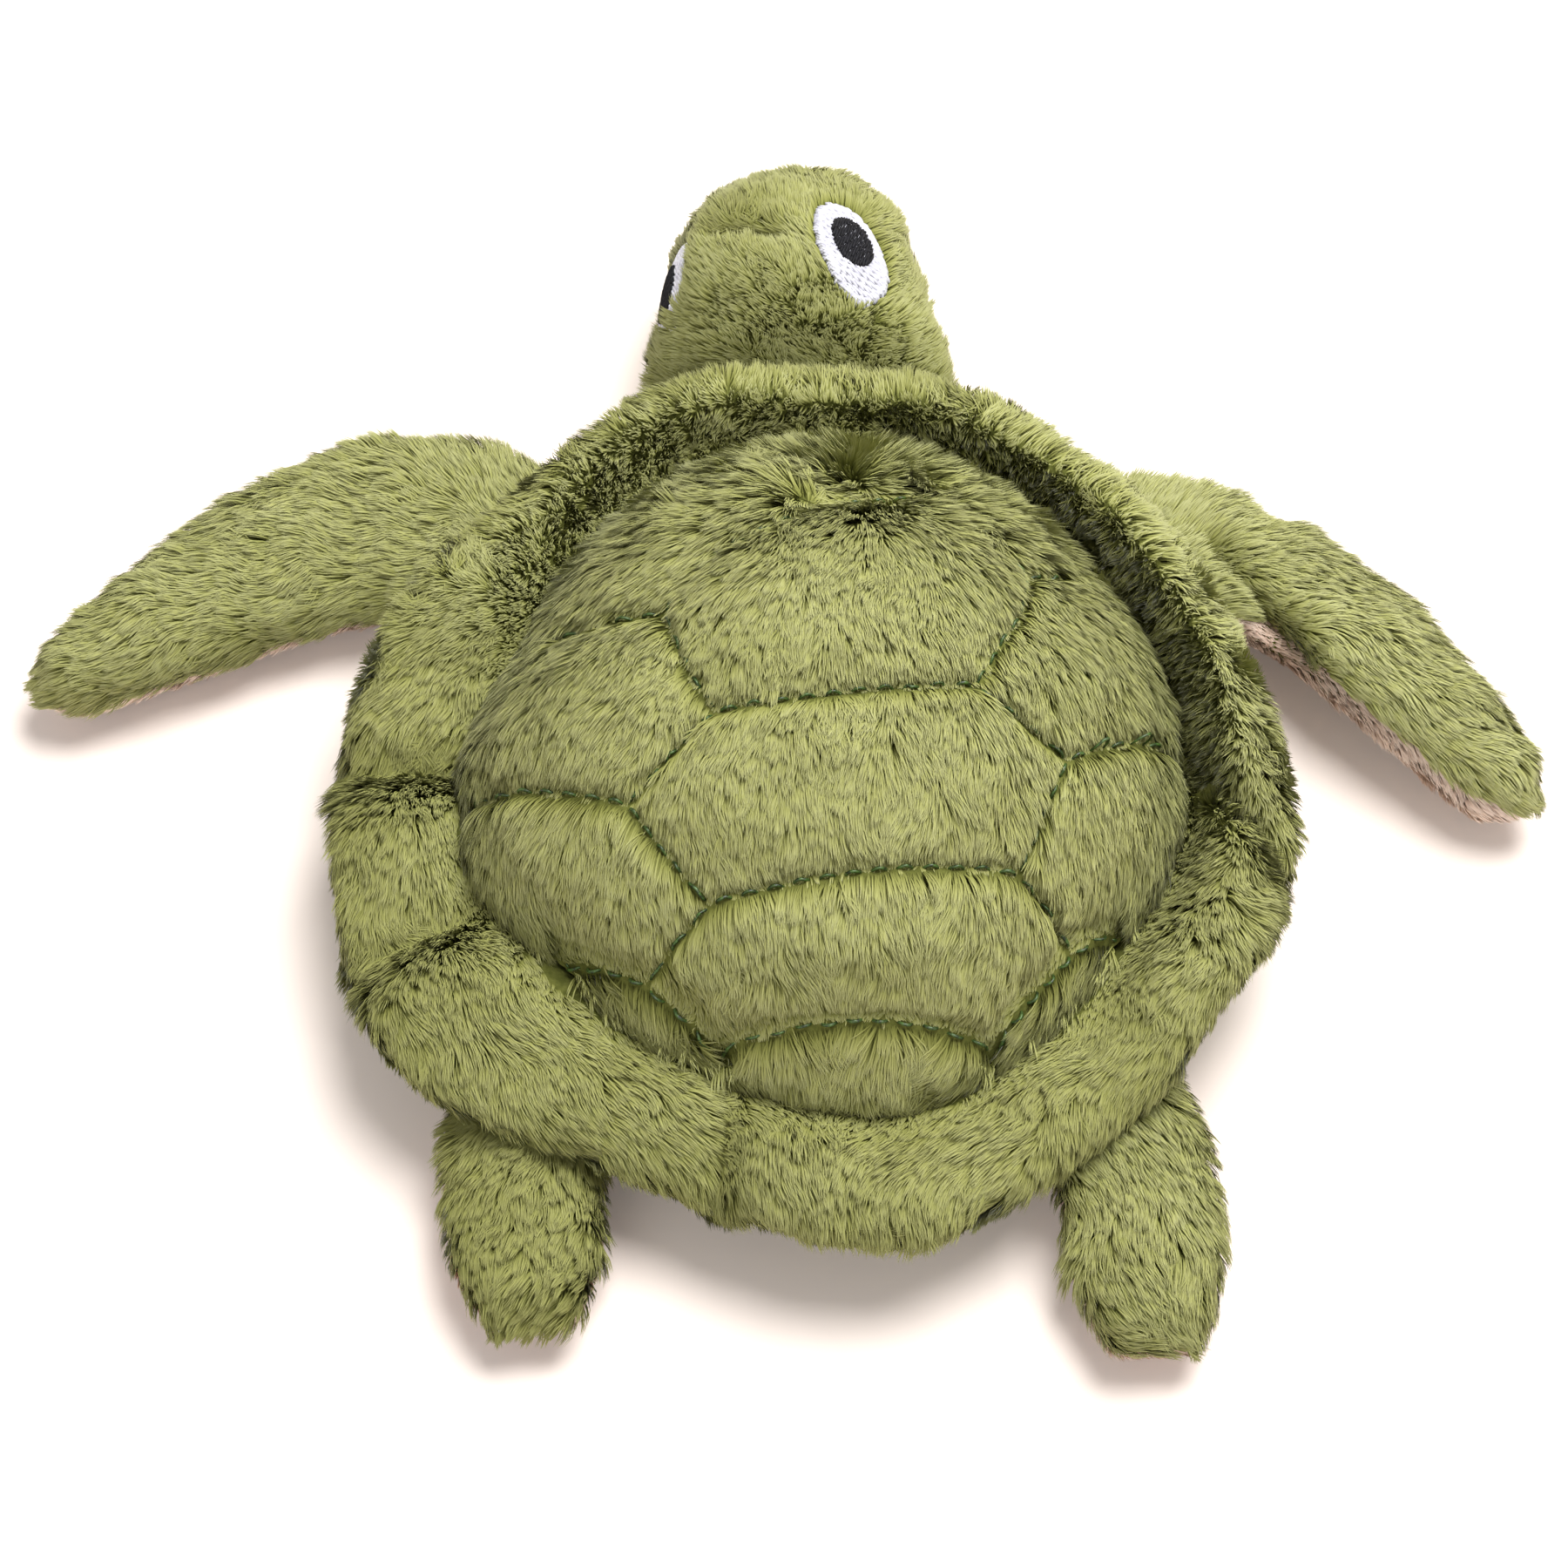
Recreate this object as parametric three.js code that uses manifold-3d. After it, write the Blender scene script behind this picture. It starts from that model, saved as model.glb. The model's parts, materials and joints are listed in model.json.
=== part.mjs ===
// A small stuffed sea turtle, lying on its belly.
// Millimetres. The head points along -Y, +X is the turtle's left, and the belly rests on Z = 0.
// The toy is soft and lies a little crooked, so left and right differ in their places.
import * as THREE from 'three';
import { mergeVertices } from 'three/addons/utils/BufferGeometryUtils.js';
import Module from 'manifold-3d';

const wasm = await Module();
wasm.setup();

// Fabric, filling and clearances
const clear = 0.3;
const fillClear = 0.5;
const plushThickness = 2.2;
const liningThickness = 1.2;
const quiltWadding = 1.6;
const overrun = 60;
const degrees = Math.PI / 180;

// Colours from the photograph
const green = 0x9a9a5f;
const darkGreen = 0x6f7040;
const beige = 0xbda590;
const threadGreen = 0x3f4a2b;
const fillWhite = 0xe9e7e0;
const eyeWhite = 0xf1f0f2;
const pupilBlack = 0x26262b;

// The shell's seam and the body under it
const seamHeight = 17;
const seamReach = 49;
const bodySideInset = 5;
const bodyEndInset = 1;
const bodyHalfWidth = seamReach - bodySideInset;
const bodyHalfLength = seamReach - bodyEndInset;
const bodySeamHeight = 9;
const bellyRestDepth = 0.5;
const bellyRoundness = 2.6;
const bodyTopRoundness = 4;
const bodySteps = 28;
const bodyRings = 4;

// Shell dome: its seam outline goes round from the turtle's left by way of the tail
const domeRise = 30;
const domeRoundness = 2.3;
const domeFullness = 0.55;
const domePeakAside = -4;
const domePeakBack = -3;
const domePeak = new THREE.Vector2(domePeakAside, domePeakBack);
const domeSteps = 36;
const fillSteps = 18;
const domeRings = 6;
const seamReachShares = [
  0.97, 0.99, 0.96, 0.93, 0.94, 0.965, 1.02, 1.06, 1.04, 1, 1.005, 1.01,
  1.01, 1, 0.985, 0.985, 1, 1.01, 1, 0.995, 0.955, 0.92, 0.89, 0.91,
];

// Padded rim round the dome: a low flat skirt at the tail that stands up as a collar at the head
const rimWidth = 13;
const collarRise = 14;
const rimWaddingHeight = 1;
const rimWaddingEdgeHeight = 0.4;
const rimSagDepth = 1.8;
const rimSteps = 32;
const rimSpans = 4;
const rimEdgeShare = 0.45;
const rimMiddleShare = 0.5;
const rimWidthShares = [
  1.04, 1.05, 1.4, 1.35, 0.98, 0.92, 1.02, 1.02, 0.77, 0.86, 0.79, 0.93,
  0.67, 0.48, 0.46, 0.5, 0.41, 0.4, 0.35, 0.49, 0.69, 0.67, 0.98, 1.17,
];
const rimRiseShares = [
  0.07, 0.03, -0.04, -0.085, -0.11, -0.15, -0.04, -0.06, -0.11, -0.04, 0.11, 0.36,
  0.56, 0.71, 0.78, 0.87, 0.93, 1, 1.04, 1, 0.87, 0.65, 0.4, 0.2,
];

// Embroidered scute lines, as places on the dome in shares of the seam reach
const threadWidth = 0.9;
const threadHeight = 0.6;
const threadLift = 0.5;
const threadStep = 6;

// Head, measured from the neck hinge and along its own length
const neckAside = -1.5;
const neckGap = 0.6;
const neckOverlap = 4.4;
const neck = new THREE.Vector3(neckAside, -(bodyHalfLength + neckOverlap + neckGap), bodySeamHeight);
const headRoll = 24 * degrees;
const headTurn = 1.5 * degrees;
const headLength = 43.1;
const headHalfWidth = 20.4;
const headHalfHeight = 14.8;
const headLift = 12;
const headSteps = 18;
const chinSeamHeight = 2;
const browShare = 0.72;

// Embroidered eyes
const eyeHalfWidth = 5.2;
const eyeHalfLength = 8;
const eyeSpread = 52 * degrees;
const eyePlaceShare = 0.557;
const eyeThickness = 0.6;
const pupilHalfWidth = 3.2;
const pupilHalfLength = 4.2;
const pupilThickness = 0.5;
const eyeLift = 0.45;
const pupilOut = 0.2;
const pupilForward = 0.9;
const eyeSteps = 16;
const eyeRingShare = 0.5;

// Flippers
const flipperEdge = 0.9;
const flipperPanel = 2;
const rootGap = 0.8;
const raisedRootGap = 3.2;
const rearRootGap = 0.2;
const rootHeight = 7.5;
const raisedRootHeight = 8;
const rearRootHeight = 6.5;
const panelRowShares = [0, 0.04, 0.13, 0.27, 0.42, 0.58, 0.75, 0.9, 1];
const panelColumnShares = [-1, -0.85, -0.5, 0, 0.5, 0.85, 1];
const waddingRowShares = [0, 0.04, 0.13, 0.27, 0.42, 0.6, 0.8, 1];
const waddingColumnShares = [-1, -0.6, 0, 0.6, 1];

function material(color, roughness) {
  return new THREE.MeshStandardMaterial({ color, roughness, metalness: 0 });
}

const plushGreen = material(green, 0.95);
const plushDark = material(darkGreen, 0.95);
const plushBeige = material(beige, 0.95);
const threadMaterial = material(threadGreen, 0.6);
const fillMaterial = material(fillWhite, 1);
const satinWhite = material(eyeWhite, 0.5);
const satinBlack = material(pupilBlack, 0.5);

function meshNamed(name, geometry, look) {
  const mesh = new THREE.Mesh(geometry, look);
  mesh.name = name;
  return mesh;
}

function indexed(points, faces) {
  const geometry = new THREE.BufferGeometry();
  const flat = points.flatMap((p) => [p.x, p.y, p.z]);
  geometry.setAttribute('position', new THREE.Float32BufferAttribute(flat, 3));
  geometry.setIndex(faces);
  return geometry;
}

// Two triangles that meet on the shorter diagonal, so that stacked layers fold alike
function quad(faces, points, a, b, c, d) {
  const first = points[a].distanceTo(points[c]);
  const second = points[b].distanceTo(points[d]);
  if (first < second) faces.push(a, b, c, a, c, d);
  else faces.push(a, b, d, b, c, d);
}

// A closed body from columns of points that all start at one pole and end at the other
function poleSolid(columns) {
  const last = columns[0].length - 1;
  const points = [columns[0][0], columns[0][last]];
  for (const column of columns) points.push(...column.slice(1, last));
  const rows = last - 1;
  const at = (i, j) => 2 + (i % columns.length) * rows + j;
  const faces = [];
  for (let i = 0; i < columns.length; i += 1) {
    faces.push(0, at(i, 0), at(i + 1, 0));
    for (let j = 0; j < rows - 1; j += 1) {
      quad(faces, points, at(i, j), at(i, j + 1), at(i + 1, j + 1), at(i + 1, j));
    }
    faces.push(1, at(i + 1, rows - 1), at(i, rows - 1));
  }
  return indexed(points, faces);
}

// A closed body from one loop of points for each step of a way that closes on itself
function bandSolid(loops) {
  const count = loops[0].length;
  const at = (i, j) => (i % loops.length) * count + (j % count);
  const points = loops.flat();
  const faces = [];
  for (let i = 0; i < loops.length; i += 1) {
    for (let j = 0; j < count; j += 1) {
      quad(faces, points, at(i, j), at(i, j + 1), at(i + 1, j + 1), at(i + 1, j));
    }
  }
  return indexed(points, faces);
}

// A closed body between an upper and a lower sheet of the same rows and columns
function sheetSolid(upper, lower) {
  const rows = upper.length;
  const columns = upper[0].length;
  const under = rows * columns;
  const at = (i, j) => i * columns + j;
  const points = [...upper.flat(), ...lower.flat()];
  const faces = [];
  for (let i = 0; i < rows - 1; i += 1) {
    for (let j = 0; j < columns - 1; j += 1) {
      const [a, b, c, d] = [at(i, j), at(i + 1, j), at(i + 1, j + 1), at(i, j + 1)];
      quad(faces, points, a, b, c, d);
      quad(faces, points, under + a, under + d, under + c, under + b);
    }
  }
  const border = [];
  for (let i = 0; i < rows - 1; i += 1) border.push(at(i, 0));
  for (let j = 0; j < columns - 1; j += 1) border.push(at(rows - 1, j));
  for (let i = rows - 1; i > 0; i -= 1) border.push(at(i, columns - 1));
  for (let j = columns - 1; j > 0; j -= 1) border.push(at(0, j));
  border.forEach((a, k) => {
    const b = border[(k + 1) % border.length];
    quad(faces, points, a, under + a, under + b, b);
  });
  return indexed(points, faces);
}

function solidOf(geometry) {
  const bare = geometry.clone();
  bare.deleteAttribute('normal');
  bare.deleteAttribute('uv');
  const merged = mergeVertices(bare);
  return new wasm.Manifold(new wasm.Mesh({
    numProp: 3,
    vertProperties: new Float32Array(merged.attributes.position.array),
    triVerts: new Uint32Array(merged.index.array),
  }));
}

function geometryOf(solid) {
  const mesh = solid.getMesh();
  const geometry = new THREE.BufferGeometry();
  geometry.setAttribute('position', new THREE.BufferAttribute(mesh.vertProperties, 3));
  geometry.setIndex(new THREE.BufferAttribute(mesh.triVerts, 1));
  return geometry;
}

// The largest piece that is left after a cut
function largest(solid) {
  return solid.decompose().reduce((best, next) => (next.volume() > best.volume() ? next : best));
}

function steps(count) {
  return Array.from({ length: count }, (_, i) => i / count);
}

function spans(count) {
  return Array.from({ length: count + 1 }, (_, i) => i / count);
}

// A closed outline from its reaches and heights at equal turns round the shell
function outline(reaches, heights) {
  const places = reaches.map((reach, i) => {
    const turn = 2 * Math.PI * i / reaches.length;
    return new THREE.Vector3(reach * Math.cos(turn), reach * Math.sin(turn), heights[i]);
  });
  return new THREE.CatmullRomCurve3(places, true, 'catmullrom');
}

// A value along a part, from its shares at equal steps
function along(shares) {
  const curve = new THREE.SplineCurve(shares.map((share, i) => new THREE.Vector2(i, share)));
  return (share) => curve.getPoint(share).y;
}

const liningBottom = seamHeight - clear - liningThickness;
const bodyTopHeight = liningBottom - clear;
const seamReaches = seamReachShares.map((share) => seamReach * share);
const seamLine = outline(seamReaches, seamReaches.map(() => seamHeight));
const rimLine = outline(
  seamReaches.map((reach, i) => reach + rimWidth * rimWidthShares[i]),
  rimRiseShares.map((share) => seamHeight + collarRise * share),
);

// A place on the dome: turn goes round, out goes from the peak to the seam
function domePoint(turn, out, inset) {
  const seam = seamLine.getPoint(turn);
  const ray = new THREE.Vector2(seam.x - domePeak.x, seam.y - domePeak.y);
  ray.setLength((ray.length() - inset) * out);
  const rise = (domeRise - inset) * (1 - out ** domeRoundness) ** domeFullness;
  return new THREE.Vector3(domePeak.x + ray.x, domePeak.y + ray.y, seamHeight + rise);
}

function domeColumn(turn, inset) {
  return spans(domeRings).map((k) => domePoint(turn, Math.sin(k * Math.PI / 2), inset));
}

// A bowl between two insets of the dome
function domeSheet(outside, inside, count) {
  return poleSolid(steps(count).map((turn) => [
    ...domeColumn(turn, outside),
    ...domeColumn(turn, inside).reverse(),
  ]));
}

// The dome filled down to its seam
function domeFill(inset, count) {
  return poleSolid(steps(count).map((turn) => [
    ...domeColumn(turn, inset),
    new THREE.Vector3(domePeak.x, domePeak.y, seamHeight),
  ]));
}

// The room that the dome and its lining take up, with a clearance round them
function shellRoom() {
  const bottom = liningBottom - clear;
  return poleSolid(steps(domeSteps).map((turn) => {
    const side = domeColumn(turn, -clear);
    return [
      ...side,
      side.at(-1).clone().setZ(bottom),
      new THREE.Vector3(domePeak.x, domePeak.y, bottom),
    ];
  }));
}

function shellLining() {
  const top = seamHeight - clear;
  const bottom = liningBottom;
  return poleSolid(steps(fillSteps).map((turn) => {
    const edge = domePoint(turn, 1, clear);
    return [
      new THREE.Vector3(domePeak.x, domePeak.y, top),
      new THREE.Vector3(edge.x, edge.y, top),
      new THREE.Vector3(edge.x, edge.y, bottom),
      new THREE.Vector3(domePeak.x, domePeak.y, bottom),
    ];
  }));
}

// The rim's middle line across its width, and the way that is square to it
function rimSection(turn, across) {
  const edge = rimLine.getPoint(turn);
  const seam = seamLine.getPoint(turn);
  const outward = new THREE.Vector3(edge.x - seam.x, edge.y - seam.y, 0).normalize();
  seam.addScaledVector(outward, clear);
  const chord = edge.clone().sub(seam);
  const square = outward.clone().cross(new THREE.Vector3(0, 0, 1)).cross(chord).normalize();
  if (square.z < 0) square.negate();
  const middle = seam.clone().lerp(edge, rimMiddleShare).addScaledVector(square, -rimSagDepth);
  const line = new THREE.QuadraticBezierCurve3(seam, middle, edge);
  const slope = line.getTangent(across);
  const up = outward.clone().cross(new THREE.Vector3(0, 0, 1)).cross(slope).normalize();
  if (up.dot(square) < 0) up.negate();
  return { place: line.getPoint(across), up };
}

function rimWaddingAt(across) {
  return rimWaddingEdgeHeight + rimWaddingHeight * Math.sin(Math.PI * across);
}

function rimPlushAt(across) {
  return plushThickness * (rimEdgeShare + (1 - rimEdgeShare) * Math.sqrt(Math.sin(Math.PI * across)));
}

function rimCurve(turn, offsetAt) {
  return spans(rimSpans).map((across) => {
    const { place, up } = rimSection(turn, across);
    return place.addScaledVector(up, offsetAt(across));
  });
}

// A layer of the rim between two distances from its middle line
function rimLayer(innerAt, outerAt) {
  return bandSolid(steps(rimSteps).map((turn) => [
    ...rimCurve(turn, outerAt),
    ...rimCurve(turn, innerAt).reverse(),
  ]));
}

function facingOut(geometry) {
  const solid = solidOf(geometry);
  return solid.volume() > 0 ? geometry : flipped(geometry);
}

function flipped(geometry) {
  const faces = geometry.index.array;
  for (let i = 0; i < faces.length; i += 3) [faces[i + 1], faces[i + 2]] = [faces[i + 2], faces[i + 1]];
  return geometry;
}

const shellKeepout = solidOf(facingOut(shellRoom()));

function rimPiece(innerAt, outerAt) {
  const layer = solidOf(facingOut(rimLayer(innerAt, outerAt)));
  return geometryOf(largest(layer.subtract(shellKeepout)));
}

// Half of the body's section, from its middle out to its side seam
function bodyPoint(turn, out, height, inset) {
  const angle = 2 * Math.PI * turn;
  return new THREE.Vector3(
    (bodyHalfWidth - inset) * out * Math.cos(angle),
    (bodyHalfLength - inset) * out * Math.sin(angle),
    height,
  );
}

function bellyHeight(out, inset) {
  const depth = bodySeamHeight + bellyRestDepth - inset;
  const drop = depth * (1 - out ** bellyRoundness) ** (1 / bellyRoundness);
  return Math.max(bodySeamHeight - drop, inset);
}

function restShare(inset) {
  const kept = (bodySeamHeight - inset) / (bodySeamHeight + bellyRestDepth - inset);
  return (1 - kept ** bellyRoundness) ** (1 / bellyRoundness);
}

function bellyColumn(turn, inset) {
  const flat = restShare(inset);
  const rest = [bodyPoint(turn, 0, inset, inset)];
  const side = spans(bodyRings).map((k) => {
    const out = flat + (1 - flat) * Math.sin(k * Math.PI / 2);
    return bodyPoint(turn, out, bellyHeight(out, inset), inset);
  });
  return [...rest, ...side];
}

function backColumn(turn, inset, seam) {
  const rise = bodyTopHeight - inset - seam;
  return spans(bodyRings).map((k) => {
    const out = Math.sin(k * Math.PI / 2);
    const height = seam + rise * (1 - out ** bodyTopRoundness) ** (1 / bodyTopRoundness);
    return bodyPoint(turn, out, height, inset);
  });
}

function bellyPanel() {
  return poleSolid(steps(bodySteps).map((turn) => [
    ...bellyColumn(turn, 0),
    ...bellyColumn(turn, plushThickness).reverse(),
  ]));
}

function bodyTopPanel() {
  const seam = bodySeamHeight + clear;
  return poleSolid(steps(bodySteps).map((turn) => [
    ...backColumn(turn, 0, seam),
    ...backColumn(turn, liningThickness, seam).reverse(),
  ]));
}

function bodyStuffing() {
  const inset = plushThickness + clear;
  return poleSolid(steps(bodySteps).map((turn) => [
    ...bellyColumn(turn, inset),
    ...backColumn(turn, inset, bodySeamHeight).slice(0, -1).reverse(),
  ]));
}

// Scute lines: each is a chain of places over the dome, counted from the middle of the shell
const scuteShares = {
  crownLeft: [-0.015, -0.58], crownRight: [-0.325, -0.66],
  shoulderRight: [-0.57, -0.4], throatRight: [-0.545, -0.24],
  shoulderLeft: [0.24, -0.45], throatLeft: [0.4, -0.25], bendLeft: [0.33, -0.03],
  ridgeLeft: [0.26, 0.09], ridgeRight: [-0.42, 0.01],
  hipLeft: [0.49, 0.31], hipRight: [-0.66, 0.17], waistLeft: [0.34, 0.51],
  loinLeft: [0.27, 0.58], loinRight: [-0.53, 0.49],
  flankLeft: [0.44, 0.71], flankRight: [-0.67, 0.61],
  rumpLeft: [0.26, 0.86], rumpRight: [-0.46, 0.86],
  sideLeftFront: [0.69, -0.29], sideRightFront: [-0.67, -0.47],
  sideLeftMiddle: [0.92, 0.13], sideRightMiddle: [-0.94, -0.03],
  sideLeftBack: [0.72, 0.55], sideRightBack: [-0.83, 0.48],
  tailLeft: [0.26, 0.92], tailRight: [-0.5, 0.89],
};
const scuteChains = [
  ['crownLeft', 'crownRight', 'shoulderRight', 'throatRight', 'ridgeRight',
    'ridgeLeft', 'bendLeft', 'throatLeft', 'shoulderLeft', 'crownLeft'],
  ['ridgeLeft', 'hipLeft', 'waistLeft', 'loinLeft', 'loinRight', 'hipRight', 'ridgeRight'],
  ['loinLeft', 'flankLeft', 'rumpLeft', 'rumpRight', 'flankRight', 'loinRight'],
  ['throatLeft', 'sideLeftFront'],
  ['shoulderRight', 'sideRightFront'],
  ['hipLeft', 'sideLeftMiddle'],
  ['hipRight', 'sideRightMiddle'],
  ['flankLeft', 'sideLeftBack'],
  ['flankRight', 'sideRightBack'],
  ['rumpLeft', 'tailLeft'],
  ['rumpRight', 'tailRight'],
];

// The dome's point over a place in plan: a few passes find the turn that the place lies on
const turnPasses = 4;

function domeOver(place) {
  const ray = new THREE.Vector2(place.x - domePeak.x, place.y - domePeak.y);
  let turn = (Math.atan2(place.y, place.x) / (2 * Math.PI) + 1) % 1;
  for (let pass = 0; pass < turnPasses; pass += 1) {
    const seam = seamLine.getPoint(turn);
    const aim = Math.atan2(seam.y - domePeak.y, seam.x - domePeak.x);
    const miss = Math.atan2(Math.sin(ray.angle() - aim), Math.cos(ray.angle() - aim));
    turn = (turn + miss / (2 * Math.PI) + 1) % 1;
  }
  const reach = seamLine.getPoint(turn).sub(new THREE.Vector3(domePeak.x, domePeak.y, 0));
  const out = Math.min(ray.length() / Math.hypot(reach.x, reach.y), 1);
  return domePoint(turn, out, 0);
}

function domeNormal(place) {
  const nudge = threadWidth;
  const middle = domeOver(place);
  const besideX = domeOver(new THREE.Vector2(place.x + nudge, place.y));
  const besideY = domeOver(new THREE.Vector2(place.x, place.y + nudge));
  return besideX.sub(middle).cross(besideY.sub(middle)).normalize();
}

// The thread's four corners at a place on its way over the dome
function threadRing(place, before, after) {
  const normal = domeNormal(place);
  const forward = domeOver(after).sub(domeOver(before)).normalize();
  const side = normal.clone().cross(forward).normalize().multiplyScalar(threadWidth / 2);
  const low = domeOver(place).addScaledVector(normal, threadLift);
  const high = low.clone().addScaledVector(normal, threadHeight);
  return [low.clone().add(side), low.sub(side), high.clone().sub(side), high.add(side)];
}

function centreOf(ring) {
  return ring.reduce((sum, corner) => sum.add(corner), new THREE.Vector3()).divideScalar(ring.length);
}

function threadChain(names) {
  const corners = names.map((name) => new THREE.Vector2(...scuteShares[name]).multiplyScalar(seamReach));
  const places = [corners[0]];
  corners.slice(1).forEach((corner, i) => {
    const count = Math.ceil(corner.distanceTo(corners[i]) / threadStep);
    for (const share of spans(count).slice(1)) places.push(corners[i].clone().lerp(corner, share));
  });
  const last = places.length - 1;
  const rings = places.map((place, i) => (
    threadRing(place, places[Math.max(i - 1, 0)], places[Math.min(i + 1, last)])
  ));
  const start = centreOf(rings[0]);
  const end = centreOf(rings[last]);
  return poleSolid(rings[0].map((_, k) => [start, ...rings.map((ring) => ring[k]), end]));
}

function scuteStitching() {
  const chains = scuteChains.map((names) => solidOf(facingOut(threadChain(names))));
  return geometryOf(largest(chains.reduce((all, chain) => all.add(chain))));
}

// Head: half widths, half heights and the lift of its middle line, from the neck to the snout
const headPlaceShares = [0.024, 0.088, 0.168, 0.243, 0.335, 0.471, 0.625, 0.77, 0.89, 0.968];
const headWidthShares = [0.43, 0.57, 0.84, 0.98, 1, 0.91, 0.81, 0.74, 0.61, 0.39];
const headHeightShares = [0.22, 0.3, 0.38, 0.7, 0.9, 1, 0.97, 0.85, 0.66, 0.4];
const headLiftShares = [0, 0, 0.08, 0.4, 0.7, 0.92, 1, 0.96, 0.84, 0.72];

// The distance along the head from the neck hinge, for a share of the whole from neck to snout
function headAlong(share, inset) {
  return THREE.MathUtils.lerp(neckOverlap - inset, inset - headLength, share);
}

function headRing(index, angle, inset) {
  const halfWidth = headHalfWidth * headWidthShares[index] - inset;
  const halfHeight = headHalfHeight * headHeightShares[index] - inset;
  return new THREE.Vector3(
    halfWidth * Math.sin(angle),
    headAlong(headPlaceShares[index], inset),
    headLift * headLiftShares[index] + halfHeight * Math.cos(angle),
  );
}

function headForm(inset) {
  const back = new THREE.Vector3(0, headAlong(0, inset), 0);
  const snout = new THREE.Vector3(0, headAlong(1, inset), headLift * headLiftShares.at(-1));
  return poleSolid(steps(headSteps).map((turn) => [
    back,
    ...headPlaceShares.map((_, i) => headRing(i, 2 * Math.PI * turn, inset)),
    snout,
  ]));
}

function slab(low, high) {
  const size = high.clone().sub(low);
  const middle = low.clone().add(high).divideScalar(2);
  return solidOf(new THREE.BoxGeometry(size.x, size.y, size.z).translate(middle.x, middle.y, middle.z));
}

function headSkin() {
  const outer = solidOf(facingOut(headForm(0)));
  const inner = solidOf(facingOut(headForm(plushThickness)));
  return outer.subtract(inner);
}

function headPanels() {
  const skin = headSkin();
  const chinTop = chinSeamHeight - clear / 2;
  const brow = headAlong(browShare, 0);
  const below = slab(
    new THREE.Vector3(-overrun, -overrun, -overrun),
    new THREE.Vector3(overrun, overrun, chinTop),
  );
  const above = slab(
    new THREE.Vector3(-overrun, brow + clear / 2, chinTop + clear),
    new THREE.Vector3(overrun, overrun, overrun),
  );
  const ahead = slab(
    new THREE.Vector3(-overrun, -overrun, chinTop + clear),
    new THREE.Vector3(overrun, brow - clear / 2, overrun),
  );
  return {
    chin: geometryOf(largest(skin.intersect(below))),
    crown: geometryOf(largest(skin.intersect(above))),
    snout: geometryOf(largest(skin.intersect(ahead))),
  };
}

// A place over the head's skin: the angle from the crown, and the share of the way to the snout
function headPoint(angle, place, lift) {
  const last = headPlaceShares.length - 1;
  let row = 0;
  while (row < last - 1 && headPlaceShares[row + 1] < place) row += 1;
  const blend = (place - headPlaceShares[row]) / (headPlaceShares[row + 1] - headPlaceShares[row]);
  return headRing(row, angle, -lift).lerp(headRing(row + 1, angle, -lift), blend);
}

// An oval patch that follows the head's skin, set out sideways and forward from the eye's middle
function eyePatch(side, halfWidth, halfLength, out, forward, lift, thickness) {
  const reach = headHalfWidth * along(headWidthShares)(eyePlaceShare);
  const wholeLength = headLength + neckOverlap;
  const place = (shareOut, turn, height) => {
    const angle = 2 * Math.PI * turn;
    const around = out + halfWidth * shareOut * Math.cos(angle);
    const ahead = forward + halfLength * shareOut * Math.sin(angle);
    return headPoint(side * (eyeSpread + around / reach), eyePlaceShare + ahead / wholeLength, height);
  };
  const patch = poleSolid(steps(eyeSteps).map((turn) => [
    place(0, 0, lift + thickness),
    place(eyeRingShare, turn, lift + thickness),
    place(1, turn, lift + thickness),
    place(1, turn, lift),
    place(eyeRingShare, turn, lift),
    place(0, 0, lift),
  ]));
  return facingOut(patch);
}

function headGroup() {
  const group = new THREE.Group();
  const panels = headPanels();
  const stuffing = facingOut(headForm(plushThickness + fillClear));
  group.add(meshNamed('head_crown_panel', panels.crown, plushGreen));
  group.add(meshNamed('head_snout_panel', panels.snout, plushDark));
  group.add(meshNamed('head_chin_panel', panels.chin, plushBeige));
  group.add(meshNamed('head_stuffing', stuffing, fillMaterial));
  for (const [name, side] of [['left', 1], ['right', -1]]) {
    const white = eyePatch(side, eyeHalfWidth, eyeHalfLength, 0, 0, eyeLift, eyeThickness);
    const pupilLift = eyeLift + eyeThickness + clear;
    const pupil = eyePatch(
      side, pupilHalfWidth, pupilHalfLength, pupilOut, pupilForward, pupilLift, pupilThickness,
    );
    group.add(meshNamed(`${name}_eye_white`, white, satinWhite));
    group.add(meshNamed(`${name}_pupil`, pupil, satinBlack));
  }
  group.position.copy(neck);
  group.rotation.set(0, headRoll, headTurn);
  return group;
}

// Front and rear flippers: the middle line of the left one and its half width, root to tip.
// The four are curled and drawn in by their stuffing, so each has its own length.
const leftFrontLength = 73.5;
const rightFrontLength = 67.5;
const leftRearLength = 39;
const rightRearLength = 43.5;
const frontFlipper = {
  halfWidth: 12,
  halfThickness: 5.5,
  arch: 1.5,
  twistShare: 0.3,
  lineShares: [
    [0, 0], [0.12, -0.12], [0.2, -0.18], [0.29, -0.215], [0.435, -0.213],
    [0.6, -0.155], [0.77, -0.09], [0.92, -0.025], [1, 0],
  ],
  widthShares: [0.95, 1.03, 1.06, 1.05, 0.99, 0.82, 0.63, 0.42, 0.14],
};
const rearFlipper = {
  halfWidth: 9,
  halfThickness: 4.2,
  arch: 0.6,
  twistShare: 0.3,
  lineShares: [[0, 0], [0.18, -0.1], [0.365, -0.135], [0.6, -0.097], [0.8, -0.046], [1, 0]],
  widthShares: [0.82, 0.93, 1, 1, 0.93, 0.55],
};

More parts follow.
